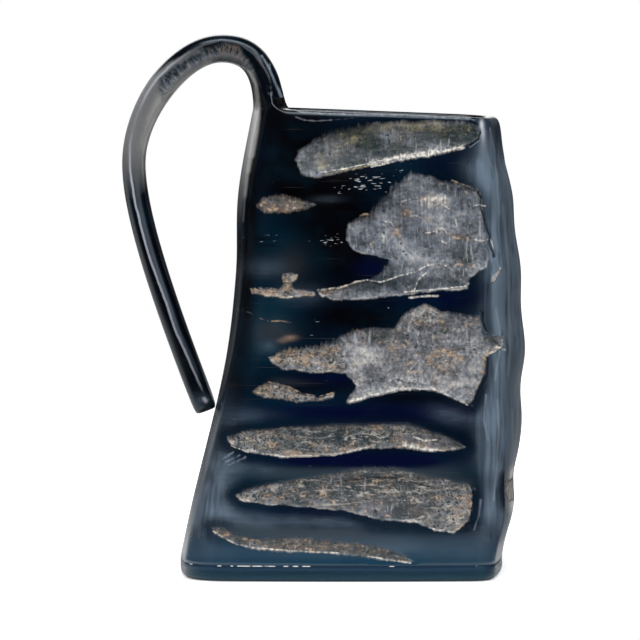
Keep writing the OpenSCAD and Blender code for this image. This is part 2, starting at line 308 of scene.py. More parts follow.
# the same kind of hollows on the faces that the picture does not show:
# face, middle and half size in mm on the face, lean in degrees, kind
hiddenHollows = [
    ("back", (18, 118), (20, 6), 5, (0.7, 0.2, 0.1, 0.3, -0.1, 0.3)),
    ("back", (-2, 91), (25, 9), -6, (0.8, 0.1, 0.0, 0.25, 0.0, 0.3)),
    ("back", (24, 69), (18, 6.5), 8, (0.7, 0.5, 0.1, 0.4, 0.1, 0.3)),
    ("back", (-12, 44), (24, 5), -3, (0.6, 0.6, 0.5, 0.4, 0.0, 0.3)),
    ("back", (20, 27), (22, 6), 4, (0.7, 0.4, 0.7, 0.35, -0.1, 0.3)),
    ("far", (19, 108), (9, 6), -6, (0.6, 0.2, 0.2, 0.3, 0.0, 0.3)),
    ("far", (18, 80), (8, 7), 5, (0.7, 0.5, 0.2, 0.4, 0.0, 0.3)),
    ("far", (20, 52), (9, 6), -4, (0.6, 0.6, 0.5, 0.4, -0.1, 0.3)),
    ("far", (19, 27), (8, 7), 5, (0.6, 0.4, 0.6, 0.3, 0.0, 0.3)),
]
# worn part of the handle's bend, px
bendWear = [
    (158, 77), (172, 65), (189, 55), (207, 47), (223, 42), (239, 45), (246, 56), (252, 65), (257, 76),
    (253, 80), (250, 72), (242, 64), (230, 59), (221, 59), (212, 63), (200, 69), (184, 80), (169, 94),
    (161, 103), (158, 89)]
# smoother matte part of the handle, from the bend down its shoulder, px; its grey is partly painted reflection
shoulderMatteSheen = [
    (203, 46), (186, 53), (168, 62), (150, 75), (137, 90), (123, 118), (117, 143), (116, 171), (123, 196),
    (136, 204), (146, 192), (149, 171), (147, 158), (152, 135), (163, 110), (171, 97), (183, 84), (200, 70),
    (215, 64)]
# crest along the handle from its tip to the rim, px
handleCrest = [
    (203, 392), (188, 358), (175, 330), (168, 308), (157, 278), (148, 253), (141, 227), (135, 202), (130, 171),
    (130, 143), (137, 115), (147, 93), (156, 80), (170, 66), (186, 54), (203, 45), (221, 40), (239, 43),
    (254, 54), (265, 69), (273, 86), (284, 104)]
# drawn lines, half their width and then their points, px: pale ridges and lips of the hollows; the lower lips are
# partly painted light where they face up to the light
paleAndLitLines = [
    (2.4, [(372, 165), (385, 162), (397, 159), (410, 156), (424, 154), (437, 152)]),
    (1.1, [(437, 152), (450, 150), (464, 148)]),
    (0.7, [(322, 172), (335, 170), (348, 168), (360, 165), (370, 163)]),
    (0.6, [
        (318, 290), (343, 287), (356, 282), (366, 280), (381, 282), (399, 276), (416, 272), (426, 266),
        (439, 263), (446, 266)]),
    (0.5, [(415, 289), (418, 280), (426, 273)]),
    (0.5, [(404, 292), (440, 289), (466, 286)]),
    (0.1, [(396, 203), (408, 200), (421, 197)]),
    (1.0, [(421, 203), (427, 199)]),
    (1.1, [(429, 205), (434, 200), (438, 197)]),
    (0.9, [(437, 206), (442, 201), (445, 199)]),
    (0.8, [(443, 205), (449, 209)]),
    (0.8, [(425, 233), (437, 232)]),
    (0.5, [(437, 231), (442, 228), (447, 233)]),
    (0.7, [(442, 241), (446, 243)]),
    (0.2, [(409, 189), (413, 190)]),
    (0.4, [(411, 216), (417, 216), (422, 219)]),
    (0.4, [(378, 232), (384, 237), (384, 243)]),
    (0.4, [(385, 222), (391, 223), (394, 227)]),
    (0.4, [(456, 220), (457, 230)]),
    (0.2, [(489, 235), (492, 243), (494, 251)]),
    (0.5, [(474, 206), (480, 205), (485, 206)]),
    (0.5, [(476, 240), (483, 241), (490, 239)]),
    (0.9, [(409, 298), (424, 296), (438, 296)]),
    (0.2, [
        (420, 330), (417, 338), (419, 346), (416, 353), (418, 361), (412, 369), (404, 375), (394, 379),
        (383, 384)]),
    (0.9, [(352, 401), (371, 396), (401, 390), (414, 389)]),
    (0.5, [(414, 389), (434, 389), (453, 398), (468, 405)]),
    (0.7, [(492, 349), (498, 347), (505, 350)]),
    (0.6, [(232, 446), (248, 452), (288, 457), (335, 455), (366, 448)]),
    (1.0, [(405, 445), (420, 449), (436, 451)]),
    (0.6, [(414, 437), (424, 441), (436, 440)]),
    (0.6, [(430, 528), (440, 531), (455, 532)]),
    (0.5, [(213, 531), (222, 537), (236, 544), (255, 548), (280, 550), (312, 552), (340, 553)]),
    (0.5, [(366, 556), (390, 560), (411, 563)]),
]
# rubbed pale streaks in the polish; those along the right corner are partly painted sheen, and those along the right
# edge and the handle's tongue are painted rim light
rubAndSheenLines = [
    (0.5, [(490, 128), (494, 150), (497, 180), (500, 215)]),
    (0.7, [(503, 205), (506, 240), (508, 275), (509, 310), (510, 350), (508, 375)]),
    (0.4, [(496, 310), (500, 330), (499, 355), (495, 380)]),
    (0.4, [(512, 410), (513, 440), (510, 470)]),
    (0.6, [(497, 400), (499, 430), (496, 470), (494, 500)]),
    (0.5, [(486, 395), (484, 420), (488, 440)]),
    (0.2, [(474, 530), (479, 515), (481, 500)]),
    (0.1, [(226, 462), (240, 455)]),
    (0.1, [(229, 465), (246, 457)]),
    (0.1, [(222, 459), (234, 452)]),
    (0.6, [(262, 56), (268, 66), (276, 84), (284, 102)]),
    (0.3, [
        (504, 160), (508, 190), (512, 220), (516, 250), (519, 280), (520, 310), (522, 340), (521, 370),
        (518, 400), (517, 430), (514, 460)]),
]
# painted light: the lit inner side where the handle grows out of the cup
innerLight = [
    (1.6, [(250, 72), (255, 84), (257, 98), (257, 116)]),
    (2.4, [(257, 104), (257, 118), (255, 134), (251, 156)]),
    (1.2, [(251, 156), (248, 172)]),
    (0.3, [(248, 172), (245, 196)]),
    (-0.8, [(245, 196), (243, 222)]),
]
# painted highlights: small bright streaks in the polish
glintLines = [
    (-1.9, [(481, 121), (482, 129), (484, 137), (484, 147)]),
    (-1.3, [(296, 117), (304, 120), (316, 121), (332, 120)]),
    (-1.8, [(332, 120), (344, 119), (354, 118)]),
    (-0.9, [(286, 106), (292, 109), (302, 112), (318, 113), (345, 114), (400, 115), (440, 117), (470, 118)]),
    (0.9, [(204, 399), (206, 401)]),
]
# tan flecks
tanLines = [
    (0.1, [(337, 148), (346, 144), (352, 138)]),
    (0.0, [(352, 138), (362, 133), (381, 132)]),
    (1.0, [(322, 174), (345, 170), (366, 166)]),
    (0.9, [(320, 292), (343, 287), (356, 282)]),
    (1.6, [(404, 212), (409, 211), (411, 215)]),
    (1.2, [(396, 230), (400, 236)]),
    (1.0, [(454, 237), (462, 239)]),
    (0.4, [(462, 238), (474, 236), (485, 238)]),
    (0.4, [(452, 180), (466, 186), (478, 190)]),
    (1.0, [(360, 216), (367, 214)]),
    (1.5, [(430, 361), (433, 353), (441, 348), (450, 354), (466, 359)]),
    (1.0, [(431, 364), (443, 369), (456, 377)]),
    (1.2, [(484, 369), (485, 356), (491, 350)]),
    (0.3, [(268, 382), (286, 386), (302, 393), (319, 397), (335, 392)]),
    (0.0, [(236, 309), (248, 312), (262, 319), (272, 322)]),
    (0.3, [(272, 321), (281, 321), (290, 322)]),
    (1.0, [(255, 289), (266, 292), (278, 293)]),
]
# dark cracks, partly painted shadow where a hollow's edge shades its floor
crackAndShadowLines = [
    (0.8, [
        (478, 192), (481, 198), (480, 206), (483, 214), (485, 224), (488, 231), (490, 237), (489, 245),
        (493, 251), (494, 257)]),
    (0.6, [(470, 122), (478, 125), (481, 131), (479, 139), (470, 146)]),
    (1.1, [(482, 312), (483, 322), (486, 331)]),
    (0.8, [(488, 359), (487, 376), (473, 405)]),
    (0.6, [(474, 490), (473, 512), (464, 530)]),
    (0.5, [(345, 482), (372, 478), (398, 479), (430, 487)]),
]
# soft spots, middle px, reach px and amount: what shifts a hollow's look; the darkening pale spots along the top
# hollow's middle and right end are painted shade in its concave floor
hollowSpots = {
    "crackle": [
        (326, 293, 15, 7, 0.7), (310, 358, 34, 14, 0.7), (425, 315, 22, 12, 0.5), (445, 358, 20, 12, 0.5),
        (455, 505, 22, 26, 0.6), (255, 493, 20, 10, 0.6), (245, 441, 26, 10, 0.4), (440, 441, 26, 8, -0.4),
        (385, 350, 26, 22, -0.2), (455, 268, 26, 14, 0.25), (410, 385, 34, 8, 0.3), (375, 511, 46, 8, -0.9),
        (350, 437, 44, 8, -0.55), (350, 488, 60, 10, -0.15)],
    "layered": [
        (350, 437, 44, 8, 0.3), (455, 505, 20, 26, -0.7), (250, 440, 24, 12, -0.4), (250, 494, 16, 9, -0.5),
        (430, 442, 26, 8, -0.5), (375, 511, 46, 8, -0.9)],
    "tan": [
        (433, 201, 14, 6, 0.7), (407, 213, 7, 5, 0.9), (397, 231, 8, 7, 0.7), (437, 233, 14, 4, 0.5),
        (459, 236, 10, 4, 0.5), (440, 360, 16, 9, 0.7), (300, 354, 26, 12, 0.8), (425, 312, 18, 10, 0.4),
        (365, 215, 8, 5, 0.5), (328, 293, 15, 7, 0.8), (462, 515, 14, 20, 0.5), (420, 445, 14, 5, 0.6),
        (390, 350, 8, 6, 0.5), (300, 453, 30, 5, 0.3), (402, 126, 44, 6, 0.8), (440, 123, 26, 4, 0.5),
        (322, 163, 5, 8, 0.6), (334, 150, 7, 6, 0.6), (350, 140, 11, 5, 0.6), (330, 545, 60, 6, 0.3),
        (385, 520, 40, 6, -0.4), (385, 235, 30, 30, -0.1), (350, 438, 36, 7, -0.3)],
    "pale": [
        (455, 136, 20, 7, -0.6), (315, 160, 18, 14, -0.1), (345, 133, 18, 7, -0.5), (436, 200, 14, 7, 0.6),
        (326, 293, 12, 6, 0.6), (405, 395, 40, 8, 0.25), (430, 310, 20, 9, 0.8), (470, 350, 20, 20, 0.2),
        (368, 142, 14, 7, -0.9), (460, 133, 20, 8, -1.3), (350, 128, 22, 7, -1.1), (305, 163, 12, 12, -0.1),
        (415, 142, 30, 8, 0.2), (405, 122, 44, 3, 0.5), (400, 150, 60, 6, -0.1), (400, 284, 70, 9, -0.55),
        (375, 236, 24, 22, -0.15), (470, 230, 12, 40, -0.25), (350, 436, 44, 8, -1.0),
        (370, 486, 60, 12, -0.15), (360, 545, 46, 6, -0.4), (385, 336, 26, 9, -0.8), (403, 361, 14, 10, -0.5),
        (450, 336, 26, 9, -0.35), (440, 358, 9, 6, -0.5), (465, 390, 18, 14, 0.2), (385, 512, 44, 6, -0.15),
        (258, 540, 40, 8, 0.1), (495, 342, 10, 7, -0.4), (300, 357, 30, 10, -0.5), (290, 444, 24, 6, -0.1),
        (400, 215, 60, 30, 0.05), (360, 350, 10, 18, 0.35), (356, 248, 12, 12, -0.1)],
    "soft": [
        (330, 128, 44, 9, 0.7), (360, 468, 70, 6, 0.8), (300, 345, 40, 6, 0.5), (382, 196, 30, 30, 0.9),
        (330, 335, 40, 10, 0.4)],
}
# tones of the polished skin; the black and navy spots under the hollows' lower edges are painted shade, the upright
# black strips by the left corner a painted dark reflection, and the glint spots painted highlights
skinSpots = {
    "black": [
        (300, 130, 30, 40, 1.0), (330, 200, 60, 40, 1.0), (345, 255, 40, 40, 1.0), (350, 318, 46, 16, 1.0),
        (300, 175, 40, 22, 0.8), (265, 105, 20, 40, 0.7), (320, 385, 40, 7, 0.8), (251, 190, 6, 60, 1.0),
        (246, 290, 7, 60, 1.0), (235, 370, 9, 40, 1.0), (262, 239, 10, 1.6, 0.7), (266, 246, 10, 1.6, 0.7),
        (263, 253, 9, 1.6, 0.7), (270, 260, 8, 1.6, 0.5), (412, 399, 34, 6, 1.0), (425, 300, 44, 4, 0.9),
        (455, 409, 14, 5, 0.8)],
    "umber": [(294, 264, 18, 18, 0.8), (272, 332, 20, 10, 0.8)],
    "navy": [
        (440, 300, 50, 8, 1.0), (330, 412, 100, 10, 1.0), (370, 460, 100, 8, 1.0), (430, 540, 40, 5, 0.5),
        (494, 272, 7, 20, 0.8), (484, 510, 6, 30, 0.6), (370, 268, 16, 10, 0.8), (330, 378, 34, 8, 0.8),
        (440, 415, 40, 9, 0.7), (430, 165, 30, 5, 0.5), (300, 513, 60, 5, 0.5), (370, 462, 110, 6, 0.6)],
    "teal": [
        (282, 245, 34, 34, 0.8), (278, 305, 34, 26, 0.7), (265, 340, 26, 30, 0.9), (290, 410, 60, 14, 0.8),
        (280, 474, 60, 9, 0.8), (420, 472, 70, 6, 0.6), (450, 325, 50, 10, 0.4)],
    "glint": [(481.5, 125, 2.0, 5, 1.0), (483, 133, 2.2, 8, 0.6), (485, 146, 4, 12, 0.15)],
    "leaf": [(290, 338, 6, 2.4, 0.8), (282, 341, 5, 2.0, 0.4)],
    "foot": [(340, 553, 500, 15, 1.1)],
    "seam": [(340, 568, 500, 9, 1.5)],
}
# where the haze and its painted sheen are streaked upright
rubbedSpots = [
    (497, 220, 20, 120, 1.0), (495, 430, 24, 120, 1.0), (210, 500, 16, 60, 0.8), (465, 168, 30, 10, 0.4)]
# where the haze lies; placed on the corners, the lower front and the handle's tip, it also paints the sheen of
# reflected light
hazeAndSheenSpots = [
    (486, 165, 13, 34, 0.9), (500, 235, 13, 55, 0.95), (502, 330, 13, 60, 0.95), (494, 440, 14, 60, 0.95),
    (486, 525, 10, 36, 0.38), (514, 250, 10, 80, 0.8), (507, 170, 9, 40, 0.6), (472, 168, 12, 10, 0.3),
    (518, 340, 10, 70, 0.95), (513, 440, 10, 60, 0.85), (503, 525, 9, 30, 0.5), (460, 414, 26, 10, 0.45),
    (218, 470, 24, 55, 0.37), (204, 525, 22, 44, 0.5), (320, 522, 110, 10, 0.38), (203, 399, 7, 4, 0.5),
    (250, 418, 30, 9, 0.2), (255, 468, 26, 7, 0.3), (268, 330, 20, 20, 0.1), (480, 340, 14, 26, 0.25),
    (236, 515, 26, 14, 0.25), (328, 199, 14, 3, 0.22), (266, 268, 20, 9, 0.22), (298, 294, 22, 9, 0.2),
    (270, 347, 10, 7, 0.3)]
# upright pale strokes in the hollows
strokeSpots = [
    (368, 246, 24, 12, 0.9), (466, 262, 20, 22, 0.9), (478, 215, 7, 28, 0.7), (358, 355, 9, 24, 1.0),
    (378, 350, 20, 16, 0.5), (430, 205, 16, 8, 0.7), (300, 165, 8, 12, 0.7), (440, 145, 34, 8, 0.5),
    (425, 385, 40, 8, 0.6), (470, 345, 18, 20, 0.4), (400, 160, 50, 8, 0.5), (405, 123, 44, 4, 1.4)]
# short pale nicks in the polish
nickSpots = [
    (370, 182, 26, 10, 1.3), (332, 240, 18, 8, 1.1), (402, 168, 8, 8, 0.9), (345, 195, 18, 10, 0.6),
    (275, 238, 26, 6, 0.6), (290, 182, 30, 5, 0.5), (320, 322, 20, 6, 0.5), (385, 308, 20, 4, 0.5),
    (245, 552, 18, 4, 0.5)]


def segments(points, line):
    # runs of a line, and for each point and run: the way from its start, the share along it, the distance off it
    p = np.array(line, float)
    run = p[1:] - p[:-1]
    rel = points[:, None, :] - p[None, :-1]
    t = np.clip((rel * run).sum(-1) / (run * run).sum(-1), 0, 1)
    return run, rel, t, np.linalg.norm(rel - t[..., None] * run, axis=-1)


def insideOutline(points, outline):
    # signed distance to a closed outline, inside is positive
    run, *_, off = segments(points, outline + outline[:1])
    a = np.array(outline, float)
    b = a + run
    x, y = points[:, :1], points[:, 1:]
    spans = (a[:, 1] > y) != (b[:, 1] > y)
    with np.errstate(divide="ignore", invalid="ignore"):
        cross = a[:, 0] + (y - a[:, 1]) * run[:, 0] / run[:, 1]
    inside = (spans & (x < cross)).sum(1) % 2 == 1
    return np.where(inside, off.min(1), -off.min(1))


def nearLines(points, lines):
    # px inside the nearest line's half width, negative outside
    best = np.full(len(points), -horn["lineLimit"])
    for half, line in lines:
        best = np.maximum(best, half - segments(points, line)[-1].min(1))
    return best


def alongLine(points, line):
    # px run along a line and signed px away from it
    run, rel, t, off = segments(points, line)
    length = np.linalg.norm(run, axis=1)
    start = np.cumsum(length) - length
    k = off.argmin(1)
    rows = np.arange(len(points))
    side = np.sign(run[k, 0] * rel[rows, k, 1] - run[k, 1] * rel[rows, k, 0])
    return start[k] + t[rows, k] * length[k], side * off[rows, k]


def softSpots(points, spots):
    amounts = np.zeros(len(points))
    for u, v, reachU, reachV, amount in spots:
        far = ((points[:, 0] - u) / reachU) ** 2 + ((points[:, 1] - v) / reachV) ** 2
        amounts += amount * np.exp(-far)
    return amounts


def ripple(co, size, seed, octaves=3):
    # smooth noise from -1 to 1, size in mm
    shift = Vector((seed * 7.3, seed * 3.1, seed * 5.7))
    return np.array([noise.fractal(Vector(p) / (size * mm) + shift, 0.6, 2.0, octaves) for p in co])


def ease(x, low, high):
    t = np.clip((x - low) / (high - low), 0, 1)
    return t * t * (3 - 2 * t)


def readVerts(mesh, what="co"):
    flat = np.empty(len(mesh.vertices) * 3, np.float32)
    mesh.vertices.foreach_get(what, flat)
    return flat.reshape(-1, 3).astype(float)


def writeVerts(mesh, co):
    mesh.vertices.foreach_set("co", co.astype(np.float32).ravel())
    mesh.polygons.foreach_set("use_smooth", [True] * len(mesh.polygons))
    mesh.update()


def paint(mesh, name, values):
    layer = mesh.attributes.new(name, "FLOAT", "POINT")
    layer.data.foreach_set("value", np.asarray(values, np.float32))


def paintColour(mesh, name, values):
    layer = mesh.attributes.new(name, "FLOAT_COLOR", "POINT")
    full = np.concatenate([values, np.ones((len(values), 1))], 1)
    layer.data.foreach_set("color", full.astype(np.float32).ravel())


def smoothCopy(nodeName, name, how):
    # a node's mesh joined to squares, with some edges kept sharp, and rounded
    mesh = frame["nodes"][nodeName].data.copy()
    mesh.materials.clear()
    bm = bmesh.new()
    bm.from_mesh(mesh)
    bmesh.ops.remove_doubles(bm, verts=bm.verts, dist=2e-6)
    bmesh.ops.join_triangles(bm, faces=bm.faces[:], angle_face_threshold=math.radians(how["joinAngle"]),
                             angle_shape_threshold=math.radians(60))
    crease = bm.edges.layers.float.new("crease_edge")
    top = min(v.co.z for v in bm.verts) + how["creaseBelow"] * mm
    for e in bm.edges:
        if max(v.co.z for v in e.verts) < top and e.calc_face_angle(0) > how["creaseAngle"]:
            e[crease] = how["crease"]
    bm.to_mesh(mesh)
    bm.free()
    piece = addObject(name, mesh)
    rounder = piece.modifiers.new("smooth", "SUBSURF")
    rounder.levels = rounder.render_levels = how["smooth"]
    depsgraph = bpy.context.evaluated_depsgraph_get()
    piece.data = bpy.data.meshes.new_from_object(piece.evaluated_get(depsgraph))
    piece.modifiers.clear()
    return piece


# horn body with its handle
horn = {
    "joinAngle": 50, "smooth": 2,    # degrees between joined triangles, rounds of smoothing
    "crease": 1.0, "creaseAngle": 0.7, "creaseBelow": 0.05,    # the foot's edge: radians, mm above the foot
    "footSharp": 60,                 # degrees
    "finer": (1.2, 0.6),             # mm round hollows and lines with finer faces, then round the lines only
    "frontAt": -11, "backAt": 16, "farAt": 30,    # mm, where the front, the back and the far side begin
    "frontFacing": -0.2, "shownFacing": 0.2, "cornerFacing": 0.6, "hiddenFacing": 0.25, "farFront": -0.02,    # normals
    "handleRight": -32, "handleLow": 46,          # mm, hollows keep off the handle, left of this and above this
    "handleFoot": 24, "bendRight": -24,           # mm, the handle's lowest point, and the bend's right end
    "handleTop": (108, 270),         # px, above this row the handle lies left of this column
    "handleSide": (171, 195, 0.1),   # px, below it left of a line: row and column, px to the right for each px down
    "ringRows": (290, 420),          # px, from these rows down the haze keeps clear of the hollows
    "cornerPx": 500,                 # px, the far corner's hollows lie right of this
    "lobes": ((2, 2, 0.14), (5, 3, 0.10), (9, 1, 0.06)),    # of a hidden hollow: count, lag, size
    "farFade": 30,                   # mm for each unit that the far side turns away
    "farLimit": 6.0,                 # mm, how far outside a hollow its distance is kept
    "lineLimit": 10.0,               # px, and outside a line
    "margin": 3,                     # mm round a hollow that its waves reach
    "edgeWander": 0.28,              # mm, how far a hollow's edge wanders
    "edgeSlope": (0.9, 2.2),         # mm, width of a hollow's sharp edge, and what a soft one adds
    "rimShare": 0.65,                # share of a hollow's depth that is reached at its edge
    "floorRough": 0.16,              # mm, unevenness inside a hollow
    "crackDeep": 0.3, "ridgeHigh": 0.2, "bendRough": 0.12,    # mm
    "lipHalf": 0.85,                 # px, wider pale lines have a fringe
    "underStep": 0.8,                # mm, up and down to a hollow's edge
    "crestFall": 0.36,               # how steeply the handle's face falls away from its crest
    "crestReach": (3.2, 2.0),        # mm, how far it falls on the outer side and on the inner side
    "innerFall": 0.4,                # share of that slope on the inner side
    "backHaze": 0.16, "backStrokes": 0.3, "backRubbed": 0.25,    # where the picture does not show the horn
    "footClear": 0.8, "ringClear": 0.85,    # share of the haze that is missing by the foot and round the hollows
    "handleBlack": 0.8,
    "leftEdge": ((0, 48.0), (22, 44.4), (62, 34.8), (90, 31.4), (113, 30.8), (139, 26.2)),   # mm, height and reach
    "axis": ((0, 0), (139, 10)),     # mm, height and place of the middle
    "wall": 1.5, "rimTop": 142,      # mm, the opening starts this far in and ends at this height
}
hornFinish = {
    "black": (0.0008, 0.0008, 0.0016),
    "navy": (0.0006, 0.0018, 0.0165),
    "teal": (0.0002, 0.0140, 0.0270),
    "plain": (0.0010, 0.0045, 0.0115),
    "umber": (0.016, 0.017, 0.020),
    "leaf": (0.23, 0.155, 0.11),
    # glint: painted highlight
    "glint": (0.56, 0.59, 0.64),
    "foot": (0.020, 0.043, 0.070),
    "seam": (0.007, 0.029, 0.053),
    # haze: bluish polish haze, which also paints the sheen of reflected light where it is placed
    "haze": (0.095, 0.130, 0.172),
    # rub: rubbed streaks, partly painted sheen and painted rim light
    "rub": (0.17, 0.205, 0.245),
    "deep": (0.006, 0.016, 0.021),    # floor of a hollow, dark to pale
    "darkGrey": (0.048, 0.055, 0.066),
    "midGrey": (0.128, 0.142, 0.168),
    "paleGrey": (0.30, 0.308, 0.32),
    "cream": (0.56, 0.52, 0.46),
    "lineGrey": (0.235, 0.238, 0.245),
    "brown": (0.140, 0.100, 0.075),
    "tan": (0.36, 0.26, 0.175),
    "khaki": (0.27, 0.24, 0.15),
    # crack: dark cracks, partly painted shadow
    "crack": (0.007, 0.007, 0.010),
    "bendPale": (0.30, 0.285, 0.26),    # handle
    # matte and matteEdge: grey of the handle's matte shoulder and lit inner side, partly painted reflection
    "matte": (0.145, 0.147, 0.152),
    "matteEdge": (0.34, 0.335, 0.325),
    # crest is a painted highlight along the handle's crest and crestSide the painted sheen beside it; crestRun and
    # crestLight set how bright that painted highlight is along the handle
    "crest": (0.36, 0.38, 0.43),
    "crestSide": (0.026, 0.036, 0.052),
    "crestRun": 150.0,    # mm along the handle, then how bright its crest is along that
    "crestLight": ((0.0, 0.2), (0.03, 0.6), (0.44, 0.9), (0.49, 0.6), (0.54, 0.05), (0.58, 0.1), (0.62, 0.6),
                   (0.67, 0.5), (0.74, 0.15), (1.0, 0.1)),
    "inside": (0.009, 0.008, 0.008),
    "dashShare": 0.85, "hairShare": 0.12, "rubShare": 0.7, "glintShare": 0.7, "innerShare": 0.8,
    "netShare": 0.42, "sheetShare": 0.75, "speckShare": 0.75, "strokeShare": 0.6, "pitShare": 0.8,
    "gloss": 0.22, "hazeDull": 0.22, "roughDull": 0.55,    # roughness, and what haze and hollows add
    "waveDeep": 0.2, "roughDeep": 0.45,                    # mm, relief
    "mirror": {"Specular_Tint": (0.74, 0.89, 1.0), "IOR": 1.54},
}
hornNoise = {    # stretch per mm, shift, detail, roughness, twist
    "patchy": ((0.10, 0.10, 0.15), (0, 0, 0), 2, 0.55),
    "mottled": ((0.33, 0.33, 0.33), (0, 0, 0), 2, 0.6),
    "grain": ((1.0, 1.0, 1.0),),
    "brush": ((1.5, 1.5, 0.09),),
    "slow": ((0.05, 0.05, 0.06), (0, 0, 0), 3, 0.6),
    "mist": ((0.12, 0.12, 0.10), (4, 8, 1), 1, 0.5, 0.3),
    "wipe": ((0.16, 0.16, 1.1), (1, 5, 9)),
    "streak": ((0.85, 0.85, 0.03),),
    "dash": ((0.6, 0.6, 3.0), (0, 0, 0), 0, 0.5, 0.4),
    "hair": ((0.05, 0.05, 2.4), (3, 9, 2)),
    "sag": ((0.06, 0.06, 0.14), (0, 0, 0), 2),
    "broken": ((0.18, 0.18, 0.5), (7, 1, 3)),
    "specks": ((0.8, 0.8, 1.5), (11, 3, 5)),
    "flecks": ((0.30, 0.30, 0.48), (31, 7, 4), 2, 0.6),
    "stroked": ((1.1, 1.1, 0.16), (2, 6, 1), 1, 0.5, 0.2),
    "pits": ((0.75, 0.75, 0.75),),
    "handWaves": ((0.10, 0.10, 0.05),),
}
hornNet = {"bend": (0.45, 1.5, 2.4), "wide": (0.36, 0.36, 0.46), "fine": (0.72, 0.72, 0.95), "fineShift": (3, 5, 7)}


def ovalField(flat, middle, half, lean, k):
    # mm inside a lobed oval
    c, s = math.cos(math.radians(lean)), math.sin(math.radians(lean))
    rel = flat - np.array(middle)
    along = (rel[:, 0] * c + rel[:, 1] * s) / half[0]
    across = (rel[:, 1] * c - rel[:, 0] * s) / half[1]
    turn = np.arctan2(across, along)
    edge = 1 + sum(size * np.sin(count * turn + lag * k) for count, lag, size in horn["lobes"])
    return (1 - np.hypot(along, across) / edge) * half[1]


def hollowField(co, normal):
    # distance into the nearest hollow in mm, then what kind of hollow it is
    spot = photoSpot(co)
    x, y, z = (co / mm).T
    right, back = normal[:, 0], normal[:, 1]
    front = (back < horn["frontFacing"]) & (y < horn["frontAt"])
    front |= (right > horn["cornerFacing"]) & (back < 0) & (spot[:, 0] > horn["cornerPx"])
    cupSide = (x > horn["handleRight"]) | (z < horn["handleLow"])
    least, outside = horn["hiddenFacing"], -99.0
    fields, kinds = [np.full(len(co), -horn["farLimit"])], [[0] * len(hollowKinds)]
    for kind, outline in hollows.values():
        fields.append(np.where(front & cupSide, insideOutline(spot, outline) / pxPerMm, outside))
        kinds.append(kind)
    for k, (face, middle, half, lean, kind) in enumerate(hiddenHollows):
        if face == "back":
            shown = (back > least) & (y > horn["backAt"]) & cupSide
            near = ovalField(np.stack([x, z], 1), middle, half, lean, k)
        else:
            shown = (right > least) & (x > horn["farAt"]) & (back > horn["farFront"])
            near = ovalField(np.stack([y, z], 1), middle, half, lean, k)
            near = np.minimum(near, horn["farFade"] * np.minimum(back - horn["farFront"], right - least))
        fields.append(np.where(shown, near, outside))
        kinds.append(kind)
    kinds = np.array(kinds)[np.argmax(fields, 0)].T
    kinds = dict(zip(hollowKinds, kinds))
    for key, spots in hollowSpots.items():
        kinds[key] = kinds[key] + np.where(front, softSpots(spot, spots), 0)
    for key in ("crackle", "layered", "tan", "soft"):
        kinds[key] = np.clip(kinds[key], 0, 1)
    return np.max(fields, 0), kinds


def lowerSide(co, normal):
    # 1 by a hollow's lower edge, -1 by its upper edge
    step = np.array([0, 0, horn["underStep"] * mm])
    above, below = (hollowField(co + way * step, normal)[0] for way in (1, -1))
    return np.clip((above - below) / (2 * horn["underStep"]), -1, 1)


def inCavity(co, normal):
    x, y, z = (co / mm).T
    left = -np.interp(z, *zip(*horn["leftEdge"]))
    middle = np.interp(z, *zip(*horn["axis"]))
    inward = normal[:, 0] * (middle - x) - normal[:, 1] * y > 0
    return inward & (x > left + horn["wall"]) & (z < horn["rimTop"])


def makeFiner(mesh):
    # halves the faces in and round the hollows, and again along the drawn lines
    drawnLines = paleAndLitLines + tanLines + crackAndShadowLines + rubAndSheenLines + glintLines
    for turn, reach in enumerate(horn["finer"]):
        co, normal = readVerts(mesh), readVerts(mesh, "normal")
        ahead = normal[:, 1] < horn["frontFacing"]
        close = np.full(len(co), -horn["lineLimit"])
        close[ahead] = nearLines(photoSpot(co[ahead]), drawnLines) / pxPerMm
        if turn == 0:
            close = np.maximum(close, hollowField(co, normal)[0])
        bm = bmesh.new()
        bm.from_mesh(mesh)
        for f in bm.faces:
            f.tag = bool(max(close[v.index] for v in f.verts) > -reach)
        edges = [e for e in bm.edges if any(f.tag for f in e.link_faces)]
        bmesh.ops.subdivide_edges(bm, edges=edges, cuts=1, use_grid_fill=True)
        bm.to_mesh(mesh)
        bm.free()


